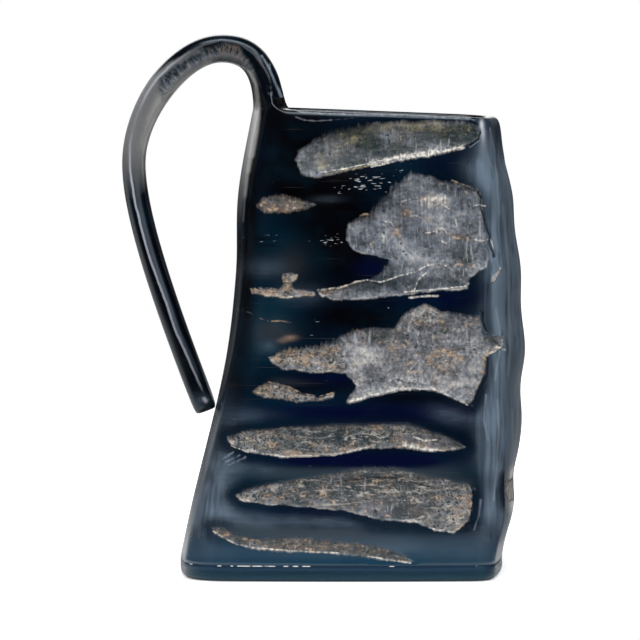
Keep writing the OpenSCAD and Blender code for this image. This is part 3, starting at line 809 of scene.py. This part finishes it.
def makeHorn():
    piece = smoothCopy("horn_body", "hornBody", horn)
    mesh = piece.data
    makeFiner(mesh)
    co, normal = readVerts(mesh), readVerts(mesh, "normal")
    spot = photoSpot(co)
    cavity = inCavity(co, normal)
    shown = (normal[:, 1] < horn["shownFacing"]) & ~cavity
    into, kinds = hollowField(co, normal)
    near = into > -horn["margin"]

    def waves(mask, size, seed, octaves=3, stretch=(1, 1, 1)):
        out = np.zeros(len(co))
        out[mask] = ripple(co[mask] * stretch, size, seed, octaves)
        return out

    def drawn(lines):
        return np.where(shown, nearLines(spot, lines), -horn["lineLimit"]) / pxPerMm

    def spread(spots, unseen):
        return np.where(shown, softSpots(spot, spots), unseen)

    # hollows, cracks and ridges
    into = into + horn["edgeWander"] * (waves(near, 5.0, 1) + 0.6 * waves(near, 1.6, 2))
    pale, dark = drawn(paleAndLitLines), drawn(crackAndShadowLines)
    slope = horn["edgeSlope"][0] + horn["edgeSlope"][1] * kinds["soft"]
    rim = horn["rimShare"]
    sink = kinds["deep"] * (rim * ease(into / slope, 0, 1) + (1 - rim) * ease(into, 0.5, 4.0))
    sink += horn["floorRough"] * waves(near, 2.6, 3, 4, (1, 1, 1.6)) * ease(into, 0.1, 1.0)
    sink += horn["crackDeep"] * ease(dark, -0.5, 0.2)
    sink -= horn["ridgeHigh"] * ease(pale, -0.4, 0.3) * ease(into, 0.1, 0.6)
    under = np.zeros(len(co))
    under[near] = lowerSide(co[near], normal[near])

    # handle: worn bend, and a face that falls away from the crest
    off = -horn["farLimit"]
    bend = np.where(co[:, 0] < horn["bendRight"] * mm, insideOutline(spot, bendWear) / pxPerMm, off)
    u, v = spot.T
    topRow, topColumn = horn["handleTop"]
    row, column, lean = horn["handleSide"]
    onHandle = np.where(v < topRow, u < topColumn, u < column + lean * (v - row))
    onHandle = onHandle & (co[:, 2] > horn["handleFoot"] * mm)
    runAlong, runAcross = (px / pxPerMm for px in alongLine(spot, handleCrest))
    matte = np.where(onHandle, insideOutline(spot, shoulderMatteSheen) / pxPerMm, off)
    sink += horn["bendRough"] * waves(bend > -1, 1.8, 6, 2) * ease(bend, -0.5, 1.0)
    co = co - normal * (sink * mm)[:, None]
    facing = ease(-normal[:, 1], 0.1, 0.6) * onHandle * ease(runAlong, 0.5, 5.0)
    outer, inner = horn["crestReach"]
    fall = np.clip(runAcross, 0, outer) + horn["innerFall"] * np.clip(-runAcross, 0, inner)
    co[:, 1] += horn["crestFall"] * fall * facing * mm
    writeVerts(mesh, co)

    # tones and weights for the finish; the skin tones carry painted shade and painted highlights, and the haze partly
    # painted sheen
    skin = np.tile(np.array(hornFinish["plain"]), (len(co), 1))
    for tone in ("teal", "umber", "black", "navy", "leaf", "glint", "foot", "seam"):
        share = np.clip(softSpots(spot, skinSpots[tone]), 0, 1)
        share = np.where(shown & ~onHandle, share, horn["handleBlack"] * onHandle * (tone == "black"))[:, None]
        skin = skin * (1 - share) + np.array(hornFinish[tone]) * share
    paintColour(mesh, "skin", skin)
    low = np.clip(softSpots(spot, skinSpots["foot"] + skinSpots["seam"]), 0, 1)
    ring = ease(v, *horn["ringRows"]) * ease(into, -4.5, -1.2)
    # painted sheen: the haze lies where the corners and the lower front mirror light
    haze = np.where(cavity, 0, spread(hazeAndSheenSpots, horn["backHaze"]))
    haze = haze * (1 - horn["footClear"] * low) * (1 - horn["ringClear"] * ring)
    weights = {
        "haze": np.clip(haze, 0, 1), "nicks": np.clip(spread(nickSpots, 0), 0, 1),
        "strokes": np.clip(spread(strokeSpots, horn["backStrokes"]), 0, 1),
        "rubbed": np.clip(spread(rubbedSpots, horn["backRubbed"]), 0, 1),
        "into": into, "under": under, "cavity": cavity, "handle": onHandle,
        "bend": bend, "matte": matte, "bendAlong": runAlong, "bendAcross": runAcross,
        "paleLine": pale, "darkLine": dark, "tanLine": drawn(tanLines),
        "lipLine": drawn([line for line in paleAndLitLines if line[0] > horn["lipHalf"]]),
        "glintLine": drawn(glintLines), "innerLight": drawn(innerLight), "rubLine": drawn(rubAndSheenLines),
    }
    weights.update((key, kinds[key]) for key in hollowKinds[1:])
    for name, values in weights.items():
        paint(mesh, name, values)
    mesh.set_sharp_from_angle(angle=math.radians(horn["footSharp"]))
    print("horn body:", len(mesh.polygons), "faces")
    return piece, tuple(weights)


def polishedHorn(weights):
    mat = newFinish("polishedHorn")
    where = inMm()
    height = axisOf(where, "Z")
    f = SimpleNamespace(**hornFinish)
    n = SimpleNamespace(**{name: cloud(where, *look) for name, look in hornNoise.items()})
    p = SimpleNamespace(**{name: painted(name) for name in weights})

    # polished skin: cloudy haze that is partly painted sheen, streaked upright where the wheel ran along a corner;
    # rubbed streaks with painted sheen, painted highlights and painted light go on top
    skin = blendColour(stepUp(n.slow, 0.48, 0.7, (0.0, 0.3)), painted("skin", "Color"), f.teal)
    wiped = times(swing(n.wipe, 0.7), stepUp(p.rubbed, 0.0, 0.8, (1.0, 0.15)))
    streaky = times(p.rubbed, stepUp(n.streak, 0.36, 0.66, (-0.3, 0.55)))
    hazy = times(p.haze, stepUp(n.mist, 0.25, 0.75, (0.6, 1.25)), total(1.0, wiped))
    hazy = calc("MULTIPLY", hazy, total(1.0, streaky), True)
    skin = coated(
        skin, (hazy, f.haze),
        (stepUp(total(n.dash, times(p.nicks, 0.27)), 0.91, 0.97, (0.0, f.dashShare)), f.paleGrey),
        (stepUp(n.hair, 0.70, 0.80, (0.0, f.hairShare)), f.brown),
        (stepUp(total(p.rubLine, swing(n.streak, 0.8)), -0.45, 0.25, (0.0, f.rubShare)), f.rub),
        (stepUp(total(p.glintLine, swing(n.streak, 0.5)), -0.75, 0.35, (0.0, f.glintShare)), f.glint),
        (stepUp(p.innerLight, -0.7, 0.5, (0.0, f.innerShare)), f.matteEdge))

    # rough floor of a hollow: brushed, crackled or in sheets
    wavy = bent(where, *hornNet["bend"])
    netAt = pull(wavy, hornNet["wide"])
    fineNet = cells(pull(wavy, hornNet["fine"], hornNet["fineShift"]))
    netLine = stepUp(total(cells(netAt), swing(n.grain, 0.12)), 0.09, 0.02, (0.0, f.netShare))
    fineLine = times(stepUp(total(fineNet, swing(n.grain, 0.16)), 0.17, 0.05),
                     stepUp(n.mottled, 0.44, 0.56, (0.3, 0.8)))
    sheet = calc("PINGPONG", total(times(height, 0.45), times(n.sag, 4.0), swing(n.mottled, 1.1)), 0.5)
    sheetLine = times(stepUp(sheet, 0.32, 0.44), stepUp(n.broken, 0.42, 0.54, (0.0, f.sheetShare)), p.layered)
    specks = times(stepUp(n.specks, 0.55, 0.66, (0.0, f.speckShare)), most(p.crackle, p.layered))
    lines = most(times(most(netLine, fineLine), p.crackle), sheetLine, specks)
    crackleTone = total(-0.22, swing(cellTone(netAt), 0.5), swing(n.grain, 0.8))
    light = total(0.5, times(p.pale, 0.5), swing(n.patchy, 0.75), swing(n.brush, 0.28), swing(n.grain, 0.4),
                  times(swing(n.mottled, 0.8), total(0.45, p.crackle)), times(p.crackle, crackleTone),
                  times(p.layered, stepUp(sheet, 0.30, 0.10, (-0.06, -0.28))))
    floor = ramp(light, ((0.12, f.deep), (0.36, f.darkGrey), (0.54, f.midGrey), (0.76, f.paleGrey), (0.98, f.cream)))
    warm = total(n.flecks, times(p.tan, 0.17))
    byRim = stepUp(height, 114.0, 119.0)    # tan is duller there
    tanTone = blendColour(stepUp(n.grain, 0.36, 0.62), f.brown, blendColour(byRim, f.tan, f.khaki))
    lineTone = coated(f.lineGrey, (stepUp(warm, 0.56, 0.70, (0.0, 0.7)), f.tan),
                      (stepUp(total(n.broken, swing(n.grain, 0.5)), 0.50, 0.66, (0.0, 0.9)), f.cream))
    floor = coated(
        floor, (times(p.tan, stepUp(n.flecks, 0.35, 0.6, (0.2, 0.8))), blendColour(byRim, f.brown, f.khaki)),
        (stepUp(total(n.stroked, times(p.strokes, 0.13)), 0.66, 0.80, (0.0, f.strokeShare)), f.paleGrey),
        (lines, lineTone),
        (stepUp(total(warm, swing(n.grain, 0.5)), 0.68, 0.80, (0.0, f.speckShare)), tanTone),
        (stepUp(total(n.pits, times(p.pale, 0.06)), 0.34, 0.26, (0.0, f.pitShare)), f.deep))

    # edge of a hollow: fading above, with a pale lip below that is partly painted light where the lower edge catches
    # light from above
    ragged = total(swing(n.grain, 0.4), swing(n.mottled, 0.5))
    edge = total(p.into, ragged, times(p.soft, swing(n.brush, 3.5)))
    feather = total(times(p.soft, 3.0), stepUp(p.under, -0.1, -0.7, (0.3, 1.1)))
    rough = stepUp(calc("DIVIDE", total(edge, 0.1), feather), 0.0, 1.0)
    litLip = times(stepUp(edge, 1.0, 0.2), stepUp(total(n.mottled, times(p.under, 0.07)), 0.46, 0.60),
                stepUp(p.soft, 0.6, 0.1, (0.0, 0.6)))
    colour = blendColour(rough, skin, blendColour(litLip, floor, lineTone))

    # drawn flecks, ridges and cracks, the cracks partly painted shadow and the pale lines partly painted light on lit
    # lips
    wander = total(swing(n.mottled, 0.7), swing(n.grain, 0.7))
    lipTone = blendColour(stepUp(total(n.brush, swing(n.grain, 0.8)), 0.40, 0.60), f.lineGrey, f.cream)
    fringe = stepUp(total(p.lipLine, swing(n.brush, 1.8)), -1.0, 0.2, (0.0, 0.6))
    colour = blendColour(times(fringe, rough), colour, lipTone)
    for line, loose, share, tone in (
            (p.tanLine, 1.0, stepUp(n.broken, 0.34, 0.52, (0.4, 0.85)), tanTone),
            (p.paleLine, 0.5, stepUp(n.grain, 0.34, 0.56, (0.65, 0.95)), lipTone),
            (p.darkLine, 1.0, stepUp(n.mottled, 0.30, 0.45, (0.5, 0.95)), f.crack)):
        onLine = stepUp(total(line, times(wander, loose)), -0.20, 0.18)
        colour = blendColour(times(onLine, share), colour, tone)

    # handle: worn bend, matte shoulder that is partly painted reflection, and a painted highlight along the crest,
    # bright on the limb and weak round the bend, with painted sheen beside it on the limb
    along, across = p.bendAlong, p.bendAcross
    wrinkle = cloud(node("CombineXYZ", {0: along, 1: across}).outputs[0], (1.25, 0.42, 1.0), twist=0.7)
    middle = times(stepUp(across, 0.2, 1.4), stepUp(across, 5.0, 3.2, (0.35, 1.0)))
    bendLight = total(0.37, times(swing(wrinkle, 0.75), middle), stepUp(across, 1.4, 6.2, (0.0, 0.36)))
    bendTone = ramp(bendLight, ((0.30, f.deep), (0.42, f.darkGrey), (0.56, f.midGrey), (0.78, f.bendPale)))
    wornTop = times(stepUp(along, 113.0, 120.0), stepUp(along, 134.0, 126.0),
                    stepUp(wrinkle, 0.42, 0.60, (0.0, 0.7)))
    onBend = stepUp(total(p.bend, ragged), -0.6, 1.4)
    matte = times(stepUp(total(p.matte, swing(n.mottled, 1.2)), -0.4, 1.6), stepUp(along, 57.0, 80.0))
    matteLight = total(stepUp(across, 1.5, 5.5), stepUp(across, -2.0, -4.0, (0.0, 0.25)), swing(n.grain, 0.3))
    limb = times(p.handle, stepUp(along, 2.0, 8.0), stepUp(along, 66.0, 56.0))
    crestSide = times(limb, stepUp(across, 0.1, 0.5), stepUp(across, 2.0, 0.6))
    crestLight = ramp(calc("DIVIDE", along, f.crestRun), [(place, (s, s, s)) for place, s in f.crestLight])
    crest = stepUp(calc("ABSOLUTE", total(across, swing(n.mottled, 0.4))), 0.52, 0.10)
    colour = coated(
        colour, (crestSide, f.crestSide), (matte, blendColour(matteLight, f.matte, f.matteEdge)),
        (onBend, blendColour(wornTop, bendTone, f.brown)), (times(crest, crestLight, p.handle), f.crest),
        (p.cavity, blendColour(stepUp(n.streak, 0.4, 0.75), f.black, f.inside)))

    dull = most(rough, onBend, times(matte, 0.6))
    roughness = calc("ADD", total(f.gloss, times(hazy, f.hazeDull)), times(dull, f.roughDull), True)
    relief = total(times(n.brush, 0.35), times(n.mottled, 0.7), times(n.grain, 0.35), times(lines, 0.4))
    relief = total(times(relief, rough), times(wrinkle, onBend, 0.8))
    normal = bumps(relief, f.roughDeep, 1.0, bumps(n.handWaves, f.waveDeep, 0.6))
    shell(colour, roughness, normal, **f.mirror)
    return mat


hornPiece, hornWeights = makeHorn()
hornPiece.data.materials.append(polishedHorn(hornWeights))
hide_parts("horn_body")
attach(hornPiece, "root")


# outlines that the foot's pieces share
loops = {
    "points": 320,
    "near": 0.03,     # mm, points this close to a height belong to it
    "apart": 0.05,    # mm, corners closer than this are dropped
    "eased": 3,       # rounds of easing the small corners
    "sharp": 40,      # degrees
}


def loopAt(mesh, z):
    # outer outline of a mesh at one height, evenly spaced, in metres
    co = readVerts(mesh)
    flat = co[np.abs(co[:, 2] - z) < loops["near"] * mm][:, :2]
    hull = flat[geometry.convex_hull_2d([Vector(p) for p in flat])]
    step = np.linalg.norm(np.roll(hull, -1, 0) - hull, axis=1)
    hull = hull[step > loops["apart"] * mm]
    step = np.linalg.norm(np.roll(hull, -1, 0) - hull, axis=1)
    along = np.concatenate([[0], np.cumsum(step)])
    want = np.linspace(0, along[-1], loops["points"], endpoint=False)
    ring = np.stack([np.interp(want, along, np.append(hull[:, k], hull[0, k])) for k in (0, 1)], 1)
    for turn in range(loops["eased"]):
        ring = 0.5 * ring + 0.25 * (np.roll(ring, 1, 0) + np.roll(ring, -1, 0))
    return ring


def insetLoop(ring, by):
    run = np.roll(ring, -1, 0) - np.roll(ring, 1, 0)
    out = np.stack([run[:, 1], -run[:, 0]], 1) / np.linalg.norm(run, axis=1, keepdims=True)
    if ((ring - ring.mean(0)) * out).sum() < 0:
        out = -out
    return ring - out * (np.asarray(by).reshape(-1, 1) * mm)


def lifted(ring, z):
    return np.concatenate([ring, np.broadcast_to(np.asarray(z, float).reshape(-1, 1), (len(ring), 1))], 1)


def ringMesh(name, rings, closed=False):
    # skin of quads over a stack of loops, capped at both ends unless it closes on itself
    n = len(rings[0])
    verts = [tuple(p) for ring in rings for p in ring]
    faces = []
    for k in range(len(rings) if closed else len(rings) - 1):
        a, b = k * n, (k + 1) % len(rings) * n
        faces += [(a + i, a + (i + 1) % n, b + (i + 1) % n, b + i) for i in range(n)]
    for k, flip in () if closed else ((0, True), (len(rings) - 1, False)):
        middle = len(verts)
        verts.append(tuple(np.mean(rings[k], 0)))
        for i in range(n):
            tri = (k * n + i, k * n + (i + 1) % n, middle)
            faces.append(tri[::-1] if flip else tri)
    mesh = bpy.data.meshes.new(name)
    mesh.from_pydata(verts, [], faces)
    bm = bmesh.new()
    bm.from_mesh(mesh)
    bmesh.ops.recalc_face_normals(bm, faces=bm.faces)
    bm.to_mesh(mesh)
    bm.free()
    mesh.polygons.foreach_set("use_smooth", [True] * len(mesh.polygons))
    mesh.set_sharp_from_angle(angle=math.radians(loops["sharp"]))
    return addObject(name, mesh)


# floor plate under the horn, with the step that plugs the tube
plate = {
    "round": 1.7,        # mm, lower edge
    "topRound": 0.06,    # mm, at the seam
    "stepRound": 0.3,    # mm, on the step
    "flatIn": 4,         # mm from the round to the flat of the underside
    "haze": (0.001, 0.008, 0.022),
    "tone": (0.0004, 0.0050, 0.0130),
    "scuffed": (0.16, 0.18, 0.20),
    "seam": (0.009, 0.021, 0.043), "seamAt": (2.6, 4.2),      # mm, height
    "inner": (0.020, 0.013, 0.008), "innerAt": (4.4, 4.6),
    "gloss": (0.26, 0.38),
    "slow": ((0.05, 0.05, 0.12), (0, 0, 0), 2),    # noises, as the horn's
    "rubbed": ((0.10, 0.10, 1.2),),
    "scuff": ((0.25, 0.25, 3.0), (0, 0, 0), 3, 0.6),
    "rubDeep": 0.03,     # mm
    "mirror": {"Specular_Tint": (0.4, 0.82, 1.0), "IOR": 1.54},
}
wallFoot = min(v.co.z for v in hornPiece.data.vertices)
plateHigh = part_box("floor_plate")[1]
glueLow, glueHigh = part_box("glue_line")
footLoop = loopAt(hornPiece.data, wallFoot)
stepLoop = loopAt(frame["nodes"]["floor_plate"].data, plateHigh.z)


def makePlate():
    r, t, s, top = plate["round"], plate["topRound"], plate["stepRound"], glueLow.z
    rings = [lifted(footLoop * 0.5, 0.0), lifted(insetLoop(footLoop, r + plate["flatIn"]), 0.0)]
    for a in np.radians(np.linspace(0, 90, 9)):
        rings.append(lifted(insetLoop(footLoop, r * (1 - math.sin(a))), r * (1 - math.cos(a)) * mm))
    rings += [lifted(footLoop, z) for z in np.linspace(r * mm, top - t * mm, 5)[1:]]
    rings += [lifted(insetLoop(footLoop, 0.3 * t), top - 0.3 * t * mm), lifted(insetLoop(footLoop, t), top)]
    rings += [lifted(stepLoop, z) for z in np.linspace(top, plateHigh.z - s * mm, 4)]
    rings.append(lifted(insetLoop(stepLoop, s), plateHigh.z))
    middle = stepLoop.mean(0)
    rings += [lifted(middle + (stepLoop - middle) * share, plateHigh.z) for share in (0.85, 0.6, 0.3)]
    return ringMesh("floorPlate", rings)


def plateFinish():
    mat = newFinish("plateHorn")
    where = inMm()
    height = axisOf(where, "Z")
    slow, rubbed, scuff = (cloud(where, *plate[key]) for key in ("slow", "rubbed", "scuff"))
    hazy = calc("MULTIPLY", stepUp(slow, 0.34, 0.66, (0.25, 0.8)), stepUp(rubbed, 0.3, 0.7, (0.7, 1.1)), True)
    colour = coated(
        plate["tone"], (hazy, plate["haze"]), (stepUp(scuff, 0.68, 0.76, (0.0, 0.12)), plate["scuffed"]),
        (stepUp(height, *plate["seamAt"]), plate["seam"]), (stepUp(height, *plate["innerAt"]), plate["inner"]))
    shell(colour, stepUp(rubbed, 0.3, 0.7, plate["gloss"]), bumps(rubbed, plate["rubDeep"], 0.5), **plate["mirror"])
    return mat


platePiece = makePlate()
platePiece.data.materials.append(plateFinish())
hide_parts("floor_plate")
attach(platePiece, "root")
print("floor plate:", len(platePiece.data.polygons), "faces")

# glue line, squeezed out pale in a few places: px across the picture
glue = {
    "pressed": [(189, 193), (217, 221), (230, 234), (236, 249), (250, 254), (256, 275), (282, 288), (294, 298),
                (302, 310), (390, 394), (476, 478)],
    "frontAt": -18,     # mm, these lie in front of this
    "shrunk": 0.01,     # mm, how far back it lies where it is clean
    "proud": 0.05,      # mm, how far it stands out where it was squeezed
    "swell": 0.10,      # mm, how much thicker it is there
    "round": 0.15,      # mm
    "wide": 3.0,        # mm, how far it reaches in
    "pale": (0.50, 0.51, 0.49),
    "dirty": (0.009, 0.030, 0.055),
    "speck": ((1.4, 1.4, 1.4), (0, 0, 0), 4, 0.6),    # noise, as the horn's
    "speckDeep": 0.08,  # mm
}


def makeGlue():
    low, high, wide, edge = glueLow.z, glueHigh.z, glue["wide"], glue["round"]
    ring = lifted(footLoop, 0.5 * (low + high))
    u = photoSpot(ring)[:, 0]
    beads = ripple(ring, 2.2, 4, 2)
    out = np.zeros(len(ring))
    for a, b in glue["pressed"]:
        out = np.maximum(out, ease(u, a - 1.0, a + 0.5) * ease(-u, -b - 1.0, -b + 0.5))
    unseen = ease(ripple(ring, 9.0, 5, 2) + 0.3 * beads, 0.25, 0.5)
    out = np.where(ring[:, 1] < glue["frontAt"] * mm, out, unseen)
    out = np.clip(out * (0.8 + 0.5 * beads), 0, 1)
    depth = glue["shrunk"] - (glue["shrunk"] + glue["proud"]) * out
    swell = glue["swell"] * out * mm
    section = [(wide, low), (depth + edge, low - swell), (depth, 0.7 * low + 0.3 * high - 0.5 * swell),
               (depth, 0.3 * low + 0.7 * high + 0.5 * swell), (depth + edge, high + swell), (wide, high)]
    obj = ringMesh("glueLine", [lifted(insetLoop(footLoop, inset), z) for inset, z in section], closed=True)
    paint(obj.data, "pressed", np.tile(out, len(section)))
    return obj


def glueFinish():
    mat = newFinish("glueSeam")
    speck = cloud(inMm(), *glue["speck"])
    pressed = total(painted("pressed"), swing(speck, 0.8))
    colour = blendColour(stepUp(pressed, 0.35, 0.75), glue["dirty"], glue["pale"])
    shell(colour, stepUp(speck, 0.3, 0.7, (0.6, 0.8)), bumps(speck, glue["speckDeep"], 0.6), Specular_IOR_Level=0.12)
    return mat


gluePiece = makeGlue()
gluePiece.data.materials.append(glueFinish())
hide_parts("glue_line")
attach(gluePiece, "root")
print("glue line:", len(gluePiece.data.polygons), "faces")

# resin bead that seals the floor inside
bead = {
    "joinAngle": 40, "smooth": 3,    # as the horn's
    "crease": 0.7, "creaseAngle": 0.6, "creaseBelow": 99,
    "wander": 0.25, "sunk": 0.4,     # mm, unevenness of the open face, and how far that lies below it
    "amber": (0.10, 0.048, 0.014),
    "dark": (0.020, 0.011, 0.005),
    "slow": ((0.16, 0.16, 0.16), (0, 0, 0), 4, 0.6),    # noises, as the horn's
    "bubbles": ((1.2, 1.2, 1.2), (0, 0, 0), 2),
    "bubbleDeep": 0.08,              # mm
}


def makeBead():
    piece = smoothCopy("seal_bead", "sealBead", bead)
    co, normal = readVerts(piece.data), readVerts(piece.data, "normal")
    free = normal[:, 2] > 0.2     # only the open face is uneven
    move = np.where(free, bead["wander"] * (ripple(co, 6.0, 8, 2) - bead["sunk"]), 0)
    writeVerts(piece.data, co + normal * (move * mm)[:, None])
    return piece


def beadFinish():
    mat = newFinish("sealResin")
    where = inMm()
    slow, bubbles = cloud(where, *bead["slow"]), cloud(where, *bead["bubbles"])
    colour = blendColour(stepUp(slow, 0.38, 0.66), bead["dark"], bead["amber"])
    shell(colour, stepUp(bubbles, 0.3, 0.7, (0.12, 0.3)), bumps(bubbles, bead["bubbleDeep"], 0.5), IOR=1.5)
    return mat


beadPiece = makeBead()
beadPiece.data.materials.append(beadFinish())
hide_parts("seal_bead")
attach(beadPiece, "root")
print("seal bead:", len(beadPiece.data.polygons), "faces")


# studio
studio = {
    "floorFront": -1.0, "floorBack": 4.0, "floorHalf": 3.0,    # m, the camera is in front
    "floorDrop": 0.0002,           # m below the cup
    "floorColour": (0.86, 0.86, 0.86),
    "floorFade": (-0.20, -0.03),   # m, black towards the camera, pale from here back
    "floorFar": (0.3, 0.9),        # m, black again this far behind the cup
    "farSide": (-0.02, 0.03),      # m, but only left of this
    "floorRight": (0.2, 0.5),      # black to the right, by the slant of the way there from rightSide
    "rightSide": 0.05,             # m
    "slantFrom": 0.05,             # m, least way back in that slant
    "shadow": 0.5,                 # share of white that gives way to the cup's shadow
    "shadowReach": (0.10, 0.34),   # m from the cup, where its shadow fades out
    "roomFront": 0.02,             # light of the room's camera side
    "roomBack": 2.2,
    "roomRise": (0.66, 1.0),       # from its sides to straight behind the cup
    "roomLift": (0.0, 0.12),       # from the floor's edge upwards
    "roomRight": (0.0, 0.14),      # towards its right side
    "roomDim": 0.06,               # share of the light that is left there
    "aim": (0, 0, 0.08),           # m, where the lamps point
}
softBoxes = [    # name, place and size in m, watts, mirrored in the polish or not
    ("leftFill", (-0.95, -0.75, 0.45), (0.6, 1.0), 9.0, False),
    ("rightFill", (1.0, -0.7, 0.45), (0.6, 1.0), 9.0, False),
    ("topFill", (0.0, -0.55, 1.25), (1.0, 0.6), 12.0, False),
    ("rightStrip", (0.85, -0.78, 0.35), (0.4, 1.0), 1.6, True),
    ("topStrip", (0.0, -0.35, 1.2), (1.0, 0.7), 8.0, True),
]
white = (1, 1, 1)


def makeFloor():
    mesh = bpy.data.meshes.new("paleFloor")
    w, y0, y1 = studio["floorHalf"], studio["floorFront"], studio["floorBack"]
    mesh.from_pydata([(-w, y0, 0), (w, y0, 0), (w, y1, 0), (-w, y1, 0)], [], [(0, 1, 2, 3)])
    floor = addObject("paleFloor", mesh)
    floor.location.z = -studio["floorDrop"]
    mesh.materials.append(newFinish("paleFloor"))
    at = node("TexCoord", {}).outputs["Object"]
    x, y = axisOf(at, "X"), axisOf(at, "Y")
    slant = calc("DIVIDE", calc("SUBTRACT", x, studio["rightSide"]), most(y, studio["slantFrom"]))
    behind = most(stepUp(y, *studio["floorFar"], (1.0, 0.0)), stepUp(x, *studio["farSide"]))
    bright = times(stepUp(y, *studio["floorFade"]), behind, stepUp(slant, *studio["floorRight"], (1.0, 0.0)))
    matte = node("BsdfDiffuse", {"Color": blendColour(bright, (0, 0, 0), studio["floorColour"])})
    away = node("VectorMath", {0: at}, operation="LENGTH").outputs["Value"]
    shade = times(stepUp(away, *studio["shadowReach"], (studio["shadow"], 0.0)), bright)
    toCamera = node("LightPath", {}).outputs["Is Camera Ray"]
    lit = node("Emission", {"Color": white, "Strength": times(toCamera, calc("SUBTRACT", 1.0, shade))})
    both = node("AddShader", {0: matte.outputs[0], 1: lit.outputs[0]})
    node("OutputMaterial", {"Surface": both.outputs[0]})


def makeLamps():
    for name, at, size, watts, mirrored in softBoxes:
        light = bpy.data.lights.new(name, "AREA")
        light.shape = "RECTANGLE"
        light.size, light.size_y = size
        light.energy = watts
        lamp = addObject(name, light)
        point(lamp, at, studio["aim"])
        lamp.visible_glossy = mirrored


def makeRoom():
    scene.world = takeTree(bpy.data.worlds.new("paleRoom"))
    way = node("TexCoord", {}).outputs["Generated"]
    room = times(stepUp(axisOf(way, "Y"), *studio["roomRise"], (studio["roomFront"], studio["roomBack"])),
                 stepUp(axisOf(way, "Z"), *studio["roomLift"], (studio["roomDim"], 1.0)),
                 stepUp(axisOf(way, "X"), *studio["roomRight"], (1.0, studio["roomDim"])))
    seen = most(room, node("LightPath", {}).outputs["Is Camera Ray"])
    sky = node("Background", {"Color": white, "Strength": seen})
    node("OutputWorld", {"Surface": sky.outputs[0]})


makeFloor()
makeLamps()
makeRoom()
print("studio set")
